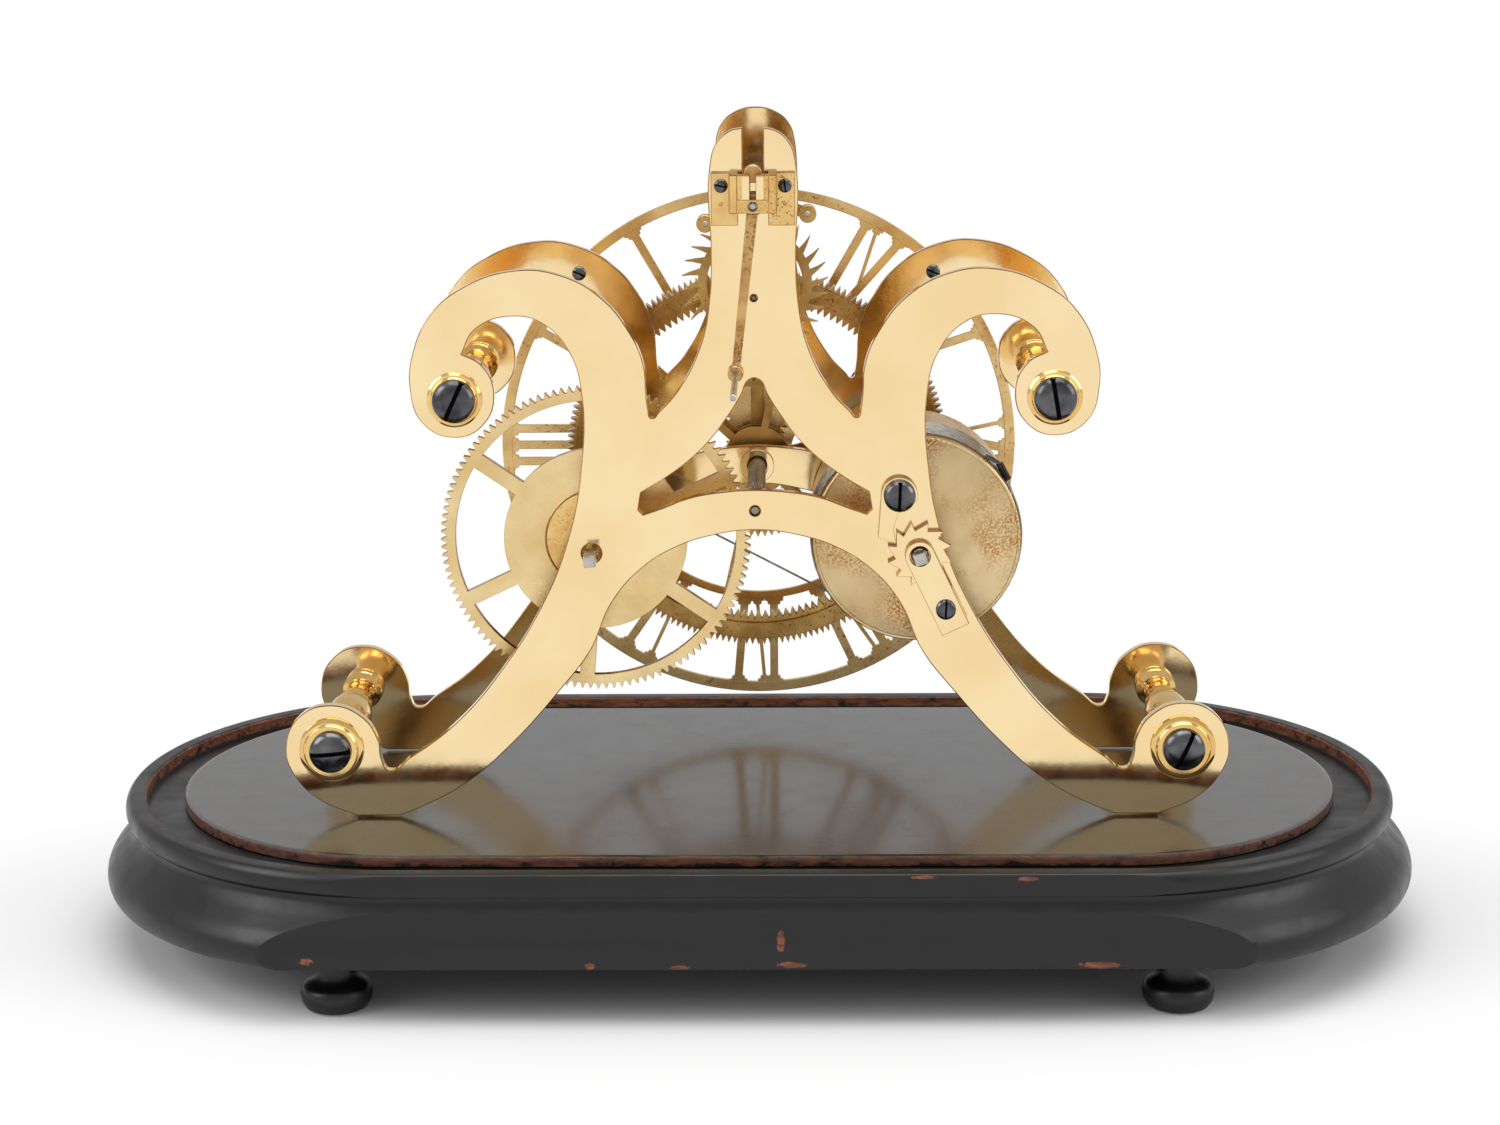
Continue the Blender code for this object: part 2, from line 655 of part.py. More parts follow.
def base_outline(offset):
    """Oval with straight sides: half ellipses of a set reach at both ends."""
    reach = BASE_HALF_LENGTH - BASE_STRAIGHT_HALF + offset
    half_width = BASE_HALF_WIDTH + offset
    points = []
    for side in (1, -1):
        for k in range(BASE_END_POINTS + 1):
            angle = math.pi * (k / BASE_END_POINTS - 0.5)
            x = side * (BASE_STRAIGHT_HALF + reach * math.cos(angle))
            points.append((x, side * half_width * math.sin(angle)))
    return points


def lofted(name, sections):
    """A solid through level outlines of as many points: the first face is raised step by step."""
    mesh = bpy.data.meshes.new(name)
    work = bmesh.new()
    outline, height = sections[0]
    bottom = work.faces.new([work.verts.new((x, y, height)) for x, y in reversed(outline)])
    top = bottom
    for outline, height in sections[1:]:
        raised = bmesh.ops.extrude_face_region(work, geom=[top], use_keep_orig=True)
        if top is not bottom:
            bmesh.ops.delete(work, geom=[top], context="FACES_ONLY")
        top = next(item for item in raised["geom"] if isinstance(item, bmesh.types.BMFace))
        for vert, (x, y) in zip(top.verts, reversed(outline)):
            vert.co = (x, y, height)
    bmesh.ops.recalc_face_normals(work, faces=work.faces)
    work.to_mesh(mesh)
    work.free()
    return bake(add_object(name, mesh))


def make_base():
    top_z = BASE_BOTTOM_Z + BASE_HEIGHT
    sections = [(base_outline(out * MOULDING_OUT), BASE_BOTTOM_Z + up * BASE_HEIGHT)
                for out, up in moulding_shares]
    groove_z = top_z - BOARD_HEIGHT - SEAT_GAP
    sections.append((base_outline(-RIM_WIDTH + BOARD_EDGE), top_z))
    sections.append((base_outline(-RIM_WIDTH), top_z - BOARD_EDGE))
    sections.append((base_outline(-RIM_WIDTH), groove_z))
    plinth = lofted("base_plinth", sections)
    reach = BASE_HALF_LENGTH + MOULDING_OUT + OVERRUN
    half = BASE_HALF_WIDTH - FLAT_SIDE_INSET
    sides = box("sides", (-reach, -half, BASE_BOTTOM_Z - OVERRUN), (reach, half, top_z + OVERRUN))
    plinth = add_boolean(plinth, sides, "INTERSECT")
    finish(plinth, EBONISED, None)

    inset = -RIM_WIDTH - DOME_GROOVE_WIDTH
    board_z = groove_z + SEAT_GAP
    board_top = board_z + BOARD_HEIGHT - SEAT_GAP
    board = lofted("base_board", [
        (base_outline(inset), board_z),
        (base_outline(inset), board_top - BOARD_EDGE / 2),
        (base_outline(inset - BOARD_EDGE), board_top),
    ])
    finish(board, BOARD, None)

    height = BASE_BOTTOM_Z - SEAT_GAP
    profile = [(r * FOOT_RADIUS, up * height) for r, up in foot_profile_shares]
    master = turned("base_foot", profile, segments=SMALL_SEGMENTS)
    master.rotation_euler = (0, 0, 0)
    foot_x = BASE_STRAIGHT_HALF + FOOT_PAST_STRAIGHT
    foot_y = BASE_HALF_WIDTH - FOOT_INSET
    for front, y in (("back", -foot_y), ("front", foot_y)):
        for side, x in (("left", -foot_x), ("right", foot_x)):
            name = f"base_foot_{front}_{side}"
            foot = add_object(name, master.data, (x, y, 0))
            finish(foot, EBONISED, None)
    bpy.data.objects.remove(master, do_unlink=True)


# Plates and pillars

def smooth_outline(rows):
    """Points of a closed smooth outline through rows of x, z and corner, by a Bezier curve."""
    curve = bpy.data.curves.new("outline", "CURVE")
    curve.dimensions = "2D"
    curve.fill_mode = "NONE"
    spline = curve.splines.new("BEZIER")
    spline.bezier_points.add(len(rows) - 1)
    spline.resolution_u = PLATE_CURVE_STEPS
    spline.use_cyclic_u = True
    for point, (x, z, corner) in zip(spline.bezier_points, rows):
        point.co = (x, z, 0)
        kind = "VECTOR" if corner else "AUTO"
        point.handle_left_type = kind
        point.handle_right_type = kind
    obj = add_object("outline", curve)
    bpy.context.view_layer.update()
    evaluated = obj.evaluated_get(bpy.context.evaluated_depsgraph_get())
    mesh = bpy.data.meshes.new_from_object(evaluated)
    points = [(vert.co.x, vert.co.y) for vert in mesh.vertices]
    bpy.data.objects.remove(obj, do_unlink=True)
    bpy.data.meshes.remove(mesh)
    return thinned(points)


def thinned(points):
    """Leave out points while all that are left out stay near the lines between those kept."""
    kept = [points[0]]
    skipped = []
    for point, after in zip(points[1:], points[2:] + points[:1]):
        start = Vector(kept[-1])
        chord = Vector(after) - start
        offsets = [abs(chord.cross(Vector(p) - start)) / chord.length for p in skipped + [point]]
        if max(offsets) < OUTLINE_TOLERANCE:
            skipped.append(point)
        else:
            kept.append(point)
            skipped = []
    return kept


def mirrored_rows(shares):
    """Rows for the half on +X, then the same back up the half on -X; middle points stay single."""
    right = [(*plate_point(x, z), corner) for x, z, corner in shares]
    left = [(-x, z, corner) for x, z, corner in reversed(right) if x != 0]
    return right + left


def make_plate(name, start_y, top_shares, holes):
    outlines = [smooth_outline(mirrored_rows(top_shares + plate_outline_shares)),
                smooth_outline(mirrored_rows(triangle_outline_shares))]
    outlines += [round_hole(radius, place) for place, radius in holes]
    return finish(flat(name, outlines, start_y, PLATE_THICKNESS), BRASS)


def make_plates():
    pillar_hole = SCREW_SHANK_RADIUS + PIVOT_PLAY
    shared = [(place, pillar_hole) for place in PILLAR_PLACES.values()]
    bridge_screw = polar(BRIDGE_SCREW_PLACE, BRIDGE_ANGLE, BARREL_PLACE)
    rear_holes = shared + [
        ((0, 0), CENTRE_PIVOT_RADIUS + PIVOT_PLAY),
        (GREAT_PLACE, FUSEE_HOLE_RADIUS),
        (BARREL_PLACE, BARREL_ARBOR_RADIUS + PIVOT_PLAY),
        (ESCAPE_PLACE, ESCAPE_PIVOT_RADIUS + PIVOT_PLAY),
        (PALLET_PLACE, PALLET_PASSAGE_RADIUS),
        ((CLICK_X, CLICK_Z), CLICK_HOLE_RADIUS),
        (bridge_screw, SMALL_SHANK_RADIUS + PIVOT_PLAY),
        ((-COCK_SCREW_X, COCK_SCREW_Z), SMALL_SHANK_RADIUS + PIVOT_PLAY),
        ((COCK_SCREW_X, COCK_SCREW_Z), SMALL_SHANK_RADIUS + PIVOT_PLAY),
    ]
    make_plate("rear_plate", 0, slotted_top_shares, rear_holes)
    front_holes = shared + [
        ((0, 0), CENTRE_BUSH_RADIUS),
        (GREAT_PLACE, FUSEE_PIVOT_RADIUS + PIVOT_PLAY),
        (BARREL_PLACE, BARREL_PIVOT_RADIUS + PIVOT_PLAY),
        (ESCAPE_PLACE, ESCAPE_PASSAGE_RADIUS),
        (PALLET_PLACE, PALLET_PIVOT_RADIUS + PIVOT_PLAY),
        ((0, FRONT_COCK_SCREW_Z), FRONT_COCK_SCREW_SHANK + PIVOT_PLAY),
    ]
    make_plate("front_plate", FRONT_PLATE_Y, whole_top_shares, front_holes)


def make_pillars():
    start = PLATE_THICKNESS + SEAT_GAP
    half = PLATE_SPACING / 2 - SEAT_GAP
    end = start + 2 * half
    bore = SCREW_SHANK_RADIUS + PIVOT_PLAY
    depth = SCREW_SHANK_LENGTH
    rear = [(r * PILLAR_RADIUS, start + along * half) for r, along in pillar_profile_shares]
    front = [(r * PILLAR_RADIUS, end - along * half) for r, along in reversed(pillar_profile_shares)]
    profile = [(0, start + depth), (bore, start + depth), (bore, start)] + rear
    profile += [(PILLAR_RADIUS, start + half)] + front
    profile += [(bore, end), (bore, end - depth), (0, end - depth)]
    master = turned("pillar", profile)
    for side, place in PILLAR_PLACES.items():
        pillar = add_object(f"pillar_{side}", master.data, (place[0], 0, place[1]), master.rotation_euler)
        finish(pillar, BRASS)
    bpy.data.objects.remove(master, do_unlink=True)


def screw_mesh(name, head_radius, head_height, shank_radius, shank_length, head_shares=((1.0, 0.0),)):
    """A slotted screw whose head stands at y below zero and whose shank runs to +Y."""
    head = [(r * head_radius, -up * head_height) for r, up in reversed(head_shares)]
    profile = [(0, -head_height)] + head + [(shank_radius, 0), (shank_radius, shank_length)]
    if head_shares[-1][1] < 1 and len(head_shares) == 1:
        profile.insert(1, (head_radius, -head_height))
    profile.append((0, shank_length))
    screw = turned(name, profile)
    depth = min(SCREW_SLOT_DEPTH, head_height / 2)
    width = min(SCREW_SLOT_WIDTH, head_radius / 3)
    reach = head_radius + OVERRUN
    slot = box("slot", (-reach, -head_height - OVERRUN, -width / 2),
               (reach, -head_height + depth, width / 2))
    screw = cut(screw, slot)
    mesh = screw.data
    bpy.data.objects.remove(screw, do_unlink=True)
    return mesh


def place_screw(name, mesh, place, seat_y, turn=0.0, facing_front=False):
    """Set a screw on its seat; the mesh's own Z is the screw's axis."""
    screw = add_object(name, mesh)
    screw.location = (place[0], seat_y, place[1])
    flip = math.pi if facing_front else 0.0
    screw.rotation_euler = (-math.pi / 2 + flip, -turn, 0)
    return finish(screw, BLUED)


def make_pillar_fixings():
    shank = SCREW_SHANK_LENGTH + PLATE_THICKNESS
    mesh = screw_mesh("pillar_screw", SCREW_HEAD_RADIUS, SCREW_HEAD_HEIGHT, SCREW_SHANK_RADIUS,
                      shank, screw_head_shares)
    bore = SCREW_SHANK_RADIUS + PIVOT_PLAY
    washers = {}
    for level, radius in (("upper", UPPER_WASHER_RADIUS), ("lower", LOWER_WASHER_RADIUS)):
        rim = [(r * radius, -up * WASHER_HEIGHT) for r, up in reversed(washer_rim_shares)]
        loop = [(bore, -WASHER_HEIGHT)] + rim + [(bore, 0)]
        washers[level] = turned(f"washer_{level}", loop, ring=True)
    head_y = WASHER_HEIGHT + 2 * SEAT_GAP
    for index, (side, place) in enumerate(PILLAR_PLACES.items()):
        washer = washers[side.split("_")[0]]
        turn = screw_slot_angles[index]
        for end, face, facing in (("back", 0, False), ("front", FRONT_FACE_Y, True)):
            outward = 1 if facing else -1
            ring = add_object(f"washer_{end}_{side}", washer.data)
            ring.location = (place[0], face + outward * SEAT_GAP, place[1])
            ring.rotation_euler = (-math.pi / 2 if not facing else math.pi / 2, 0, 0)
            finish(ring, BRASS)
            place_screw(f"pillar_screw_{end}_{side}", mesh, place, face + outward * head_y, turn,
                        facing)
    for washer in washers.values():
        bpy.data.objects.remove(washer, do_unlink=True)


# Great wheel, fusee and line

def make_great_wheel():
    outlines = [toothed(GREAT_TEETH, GREAT_MODULE, great_tooth_shares),
                round_hole(FUSEE_ARBOR_RADIUS + PIVOT_PLAY)]
    outlines += windows(GREAT_DISC_RADIUS, GREAT_RIM_RADIUS, GREAT_SPOKES, GREAT_SPOKE_WIDTH,
                        GREAT_SPOKE_ANGLE)
    wheel = flat("great_wheel", outlines, GREAT_WHEEL_Y, GREAT_WHEEL_THICKNESS, GREAT_PLACE)
    low = GREAT_WHEEL_Y - OVERRUN
    deep = GREAT_WHEEL_Y + GREAT_RECESS_DEPTH
    recess = turned("recess", [(GREAT_RECESS_RADIUS, low), (GREAT_RECESS_RADIUS, deep),
                               (GREAT_COLLET_RADIUS, deep), (GREAT_COLLET_RADIUS, low)],
                    GREAT_PLACE, ring=True, segments=ROUND_SEGMENTS)
    return finish(cut(wheel, recess), BRASS)


FUSEE_Y = GREAT_WHEEL_Y + GREAT_WHEEL_THICKNESS + SEAT_GAP + FUSEE_FLANGE_THICKNESS


def fusee_radius(along):
    """Radius of the fusee's cone; the spring's pull falls as the line runs back to its large end."""
    share = min(max(along / FUSEE_LENGTH, 0), 1)
    return 1 / ((1 - share) / FUSEE_LARGE_RADIUS + share / FUSEE_SMALL_RADIUS)


def make_fusee():
    flange_y = FUSEE_Y - FUSEE_FLANGE_THICKNESS
    square_end = -FUSEE_SQUARE_REACH
    square_foot = -FUSEE_SQUARE_FOOT
    front = FRONT_FACE_Y - SEAT_GAP
    profile = [(0, square_foot), (FUSEE_ARBOR_RADIUS, square_foot), (FUSEE_ARBOR_RADIUS, flange_y),
               (FUSEE_FLANGE_RADIUS, flange_y), (FUSEE_FLANGE_RADIUS, FUSEE_Y)]
    pitch = FUSEE_LENGTH / FUSEE_TURNS
    for turn in range(FUSEE_TURNS):
        crest = turn * pitch
        profile.append((fusee_radius(crest), FUSEE_Y + crest))
        groove = crest + pitch / 2
        profile.append((fusee_radius(groove) - FUSEE_GROOVE_DEPTH, FUSEE_Y + groove))
    end = FUSEE_Y + FUSEE_LENGTH
    cap = end + FUSEE_END_THICKNESS
    step = FRONT_PLATE_Y - SEAT_GAP
    profile += [(FUSEE_SMALL_RADIUS, end), (FUSEE_END_RADIUS, end), (FUSEE_END_RADIUS, cap),
                (FUSEE_ARBOR_RADIUS, cap), (FUSEE_ARBOR_RADIUS, step), (FUSEE_PIVOT_RADIUS, step),
                (FUSEE_PIVOT_RADIUS, front), (0, front)]
    fusee = turned("fusee", profile, GREAT_PLACE, segments=ROUND_SEGMENTS)
    half = FUSEE_SQUARE_WIDTH / 2
    x, z = GREAT_PLACE
    square = box("square", (x - half, square_end, z - half), (x + half, square_foot + OVERLAP, z + half))
    return finish(join(fusee, square), STEEL)


def line_route():
    """Points of the line: loops on the fusee, a straight run and loops on the barrel."""
    chord = math.cos(math.pi / LINE_LOOP_POINTS)
    lift = LINE_RADIUS + LINE_CLEARANCE
    barrel_radius = (BARREL_RADIUS + lift) / chord

    def on_fusee(along):
        return (fusee_radius(along) + lift) / chord

    leave_radius = on_fusee(LINE_FUSEE_LEAVES)
    span = BARREL_PLACE[0] - GREAT_PLACE[0]
    slope = math.asin((leave_radius + barrel_radius) / span)
    leave_angle = math.pi / 2 - slope
    points = []
    steps = FUSEE_LINE_LOOPS * LINE_LOOP_POINTS
    first_angle = leave_angle + math.tau * FUSEE_LINE_LOOPS
    x, z = polar(on_fusee(0), first_angle, GREAT_PLACE)
    start_y = FUSEE_Y + SEAT_GAP
    points.append((x, start_y, z))
    points.append((x, start_y + LINE_END_RUN, z))
    for k in range(1, steps + 1):
        share = k / steps
        angle = first_angle + (leave_angle - first_angle) * share
        along = LINE_FUSEE_START + (LINE_FUSEE_LEAVES - LINE_FUSEE_START) * share
        x, z = polar(on_fusee(along), angle, GREAT_PLACE)
        points.append((x, FUSEE_Y + along, z))
    steps = round(BARREL_LINE_LOOPS * LINE_LOOP_POINTS)
    first_angle = leave_angle + math.pi
    first_y = BARREL_Y + LINE_BARREL_ARRIVES
    last_y = BARREL_Y + LINE_BARREL_END
    for k in range(steps + 1):
        share = k / steps
        angle = first_angle + math.tau * k / LINE_LOOP_POINTS
        x, z = polar(barrel_radius, angle, BARREL_PLACE)
        points.append((x, first_y + (last_y - first_y) * share, z))
    return points, first_angle, barrel_radius, last_y


def least_gap(points, radius):
    """Least clear space between runs of the line that are more than a quarter loop apart."""
    apart = LINE_LOOP_POINTS // 4
    least = min((Vector(points[i]) - Vector(points[j])).length
                for i in range(0, len(points), 2) for j in range(i + apart, len(points)))
    return least - 2 * radius


def tube(name, points, radius, resolution):
    curve = bpy.data.curves.new(name, "CURVE")
    curve.dimensions = "3D"
    curve.bevel_depth = radius
    curve.bevel_resolution = resolution
    curve.use_fill_caps = True
    spline = curve.splines.new("POLY")
    spline.points.add(len(points) - 1)
    for point, place in zip(spline.points, points):
        point.co = (*place, 1)
    return bake(add_object(name, curve))


def make_line():
    points, first_angle, radius, last_y = line_route()
    print("least gap of the line to itself, mm:", round(least_gap(points, LINE_RADIUS) * 1000, 3))
    finish(tube("fusee_line", points, LINE_RADIUS, 1), STEEL)
    # The hook goes on where the line ends: a sleeve, then a thinner stem bent round the drum.
    middle = Vector((BARREL_PLACE[0], 0, BARREL_PLACE[1]))
    step = math.tau / LINE_LOOP_POINTS / 2
    last = Vector(points[-1])
    heading = (last - Vector(points[-2])).normalized()
    sleeve_start = last + heading * SEAT_GAP
    out = Vector((last.x, 0, last.z)) - middle
    out.normalize()
    lift = out * (HOOK_RADIUS - LINE_RADIUS)
    sleeve_end = sleeve_start + heading * HOOK_LENGTH
    sleeve = tube("line_hook", [sleeve_start + lift, sleeve_end + lift], HOOK_RADIUS, 2)
    stem_points = []
    count = 4
    base = sleeve_end - heading * SEAT_GAP + lift
    far = (Vector((base.x, 0, base.z)) - middle).length
    start_angle = math.atan2(base.z - middle.z, base.x - middle.x)
    near = BARREL_RADIUS + LINE_CLEARANCE + HOOK_STEM_RADIUS
    for k in range(count + 1):
        share = k / count
        reach = (far + (near - far) * share) / math.cos(step)
        angle = start_angle + share * HOOK_STEM_LENGTH / BARREL_RADIUS
        x, z = polar(reach, angle, BARREL_PLACE)
        stem_points.append((x, last_y, z))
    stem = tube("stem", stem_points, HOOK_STEM_RADIUS, 1)
    finish(join(sleeve, stem), BLUED)


# Barrel and its ratchet

def make_barrel():
    end = BARREL_Y + BARREL_LENGTH
    inner = BARREL_RADIUS - BARREL_WALL
    ledge = inner + BARREL_COVER_LEDGE
    seat = BARREL_Y + BARREL_COVER_THICKNESS + 2 * SEAT_GAP
    bore = BARREL_ARBOR_RADIUS + PIVOT_PLAY
    drum = turned("barrel_drum", [
        (BARREL_RADIUS, BARREL_Y), (BARREL_RADIUS, end), (bore, end), (bore, end - BARREL_WALL),
        (inner, end - BARREL_WALL), (inner, seat), (ledge, seat), (ledge, BARREL_Y),
    ], BARREL_PLACE, ring=True, segments=FINE_SEGMENTS)
    finish(drum, BRASS)
    cover_y = BARREL_Y + SEAT_GAP
    cover_end = cover_y + BARREL_COVER_THICKNESS
    cover = turned("barrel_cover", [
        (ledge - SEAT_GAP, cover_y), (ledge - SEAT_GAP, cover_end), (bore, cover_end), (bore, cover_y),
    ], BARREL_PLACE, ring=True, segments=FINE_SEGMENTS)
    finish(cover, TARNISHED)

    core_start = cover_end + SEAT_GAP
    core_end = end - BARREL_WALL - SEAT_GAP
    square_foot = -RATCHET_THICKNESS - BRIDGE_THICKNESS - 3 * SEAT_GAP
    step = FRONT_PLATE_Y - SEAT_GAP
    front = FRONT_FACE_Y - SEAT_GAP
    plate_front = PLATE_THICKNESS + SEAT_GAP
    arbor = turned("barrel_arbor", [
        (0, square_foot), (BARREL_STEM_RADIUS, square_foot), (BARREL_STEM_RADIUS, 0),
        (BARREL_ARBOR_RADIUS, 0), (BARREL_ARBOR_RADIUS, plate_front),
        (BARREL_ARBOR_RADIUS, core_start), (BARREL_CORE_RADIUS, core_start),
        (BARREL_CORE_RADIUS, core_end), (BARREL_ARBOR_RADIUS, core_end), (BARREL_ARBOR_RADIUS, step),
        (BARREL_PIVOT_RADIUS, step), (BARREL_PIVOT_RADIUS, front), (0, front),
    ], BARREL_PLACE)
    half = BARREL_SQUARE_WIDTH / 2
    x, z = BARREL_PLACE
    square = box("square", (x - half, -BARREL_REACH, z - half), (x + half, square_foot + OVERLAP, z + half),
                 math.radians(17), BARREL_PLACE)
    finish(join(arbor, square), STEEL)

    # The spring's coils run from the core to the wall, with a strip's thickness and gaps between.
    first = BARREL_CORE_RADIUS + SPRING_END_GAP / 2 + SPRING_THICKNESS / 2
    last = inner - SPRING_END_GAP / 2 - SPRING_THICKNESS / 2
    count = SPRING_COILS * SPRING_COIL_POINTS
    outer_side = []
    inner_side = []
    for k in range(count + 1):
        angle = math.tau * SPRING_COILS * k / count
        radius = first + (last - first) * k / count
        outer_side.append(polar(radius + SPRING_THICKNESS / 2, angle))
        inner_side.append(polar(radius - SPRING_THICKNESS / 2, angle))
    spring_y = core_start + SEAT_GAP
    spring = flat("mainspring", [outer_side + inner_side[::-1]], spring_y,
                  core_end - SEAT_GAP - spring_y, BARREL_PLACE)
    finish(spring, BLUED)


def make_ratchet():
    outline = []
    for tooth in range(RATCHET_TEETH):
        tip = RATCHET_PHASE + math.tau * tooth / RATCHET_TEETH
        outline.append(polar(RATCHET_ROOT_RADIUS, tip - RATCHET_UNDERCUT))
        outline.append(polar(RATCHET_TIP_RADIUS, tip))
    layer_y = -SEAT_GAP - RATCHET_THICKNESS
    ratchet = flat("ratchet_wheel", [outline, round_hole(BARREL_STEM_RADIUS + PIVOT_PLAY)], layer_y,
                   RATCHET_THICKNESS, BARREL_PLACE)
    finish(ratchet, BRASS)

    tail = [(x * CLICK_WIDTH, z * CLICK_DROP) for x, z in click_tail_shares]
    start = math.radians(-20)
    sweep = math.radians(200)
    head = [polar(CLICK_END_RADIUS, start + sweep * k / HOLE_SEGMENTS) for k in range(HOLE_SEGMENTS + 1)]
    click = flat("click", [head + tail[::-1], round_hole(CLICK_HOLE_RADIUS)], layer_y, RATCHET_THICKNESS,
                 (CLICK_X, CLICK_Z))
    finish(click, BRASS)
    mesh = screw_mesh("click_screw", CLICK_SCREW_HEAD_RADIUS, CLICK_SCREW_HEAD_HEIGHT,
                      CLICK_SCREW_SHANK, RATCHET_THICKNESS + PLATE_THICKNESS)
    place_screw("click_screw", mesh, (CLICK_X, CLICK_Z), layer_y - SEAT_GAP, math.radians(88))

    # Bridge: a bar from over the arbor to a foot that stands on the plate beyond the ratchet.
    half = BRIDGE_WIDTH / 2
    round_end = [polar(half, math.pi / 2 + math.pi * k / HOLE_SEGMENTS) for k in range(HOLE_SEGMENTS + 1)]
    bar = round_end + [(BRIDGE_LENGTH, -half), (BRIDGE_LENGTH, half)]
    turn = [(x * math.cos(BRIDGE_ANGLE) - z * math.sin(BRIDGE_ANGLE),
             x * math.sin(BRIDGE_ANGLE) + z * math.cos(BRIDGE_ANGLE)) for x, z in bar]
    bridge_y = layer_y - SEAT_GAP - BRIDGE_THICKNESS
    screw_place = polar(BRIDGE_SCREW_PLACE, BRIDGE_ANGLE)
    hole = SMALL_SHANK_RADIUS + PIVOT_PLAY
    bridge = flat("ratchet_bridge", [turn, round_hole(BARREL_STEM_RADIUS + PIVOT_PLAY),
                                     round_hole(hole, screw_place)],
                  bridge_y, BRIDGE_THICKNESS, BARREL_PLACE)
    x, z = BARREL_PLACE
    foot = box("foot", (x + BRIDGE_LENGTH - BRIDGE_FOOT_LENGTH, bridge_y + BRIDGE_THICKNESS - OVERLAP,
                        z - half), (x + BRIDGE_LENGTH, -SEAT_GAP, z + half), BRIDGE_ANGLE, BARREL_PLACE)
    passage = rod("passage", hole, bridge_y - OVERRUN, OVERRUN,
                  (x + screw_place[0], z + screw_place[1]), HOLE_SEGMENTS)
    finish(join(bridge, cut(foot, passage)), BRASS)
    mesh = screw_mesh("bridge_screw", BRIDGE_SCREW_HEAD_RADIUS, BRIDGE_SCREW_HEAD_HEIGHT,
                      SMALL_SHANK_RADIUS, -bridge_y + PLATE_THICKNESS)
    place_screw("bridge_screw", mesh, (x + screw_place[0], z + screw_place[1]), bridge_y - SEAT_GAP,
                math.radians(88))


# Centre arbor and the epicyclic train

def make_centre():
    phase = meshing_phase(0, GREAT_TEETH, CENTRE_LEAVES, GREAT_ARBOR_ANGLE + math.pi)
    pinion_y = GREAT_WHEEL_Y - (CENTRE_PINION_LENGTH - GREAT_WHEEL_THICKNESS) / 2
    pinion = flat("pinion", [toothed(CENTRE_LEAVES, GREAT_MODULE, centre_leaf_shares, phase)],
                  pinion_y, CENTRE_PINION_LENGTH)
    hands_y = MOTION_Y - SEAT_GAP
    plate_front = PLATE_THICKNESS + SEAT_GAP
    arbor = turned("centre_arbor", [
        (0, SEAT_GAP), (CENTRE_PIVOT_RADIUS, SEAT_GAP), (CENTRE_PIVOT_RADIUS, plate_front),
        (CENTRE_ARBOR_RADIUS, plate_front), (CENTRE_ARBOR_RADIUS, CENTRE_STEP_Y),
        (CENTRE_FRONT_RADIUS, CENTRE_STEP_Y), (CENTRE_FRONT_RADIUS, hands_y),
        (CENTRE_HAND_RADIUS, hands_y), (CENTRE_HAND_RADIUS, CENTRE_ARBOR_END_Y),
        (0, CENTRE_ARBOR_END_Y),
    ])
    finish(join(arbor, pinion), STEEL)


def capsule(start, end, start_radius, end_radius, segments=HOLE_SEGMENTS):
    """Outline of a bar with round ends of two radii."""
    heading = math.atan2(end[1] - start[1], end[0] - start[0])
    points = []
    for centre, radius, first in ((end, end_radius, -0.5), (start, start_radius, 0.5)):
        for k in range(segments // 2 + 1):
            angle = heading + math.pi * (first + k / (segments // 2))
            points.append(polar(radius, angle, centre))
    return points


def make_ring_wheel():
    band_out = ESCAPE_MODULE * (RING_OUTER_TEETH / 2 + ring_outer_tooth_shares[0][0]) - RING_BAND_MARGIN
    band_in = RING_INNER_MODULE * (RING_INNER_TEETH / 2 + ring_inner_tooth_shares[0][0]) + RING_BAND_MARGIN
    ring = flat("ring_wheel", [
        toothed(RING_OUTER_TEETH, ESCAPE_MODULE, ring_outer_tooth_shares),
        toothed(RING_INNER_TEETH, RING_INNER_MODULE, ring_inner_tooth_shares),
    ], RING_Y, RING_THICKNESS)
    bore = CENTRE_FRONT_RADIUS + PIVOT_PLAY
    arms_y = RING_Y - RING_ARM_THICKNESS
    arms = flat("arms", [circle(band_out, segments=DIAL_SEGMENTS), round_hole(bore)]
                + windows(RING_HUB_RADIUS, band_in, RING_ARMS, RING_ARM_WIDTH, RING_ARM_ANGLE),
                arms_y, RING_ARM_THICKNESS + OVERLAP)
    return finish(join(ring, arms), TARNISHED)


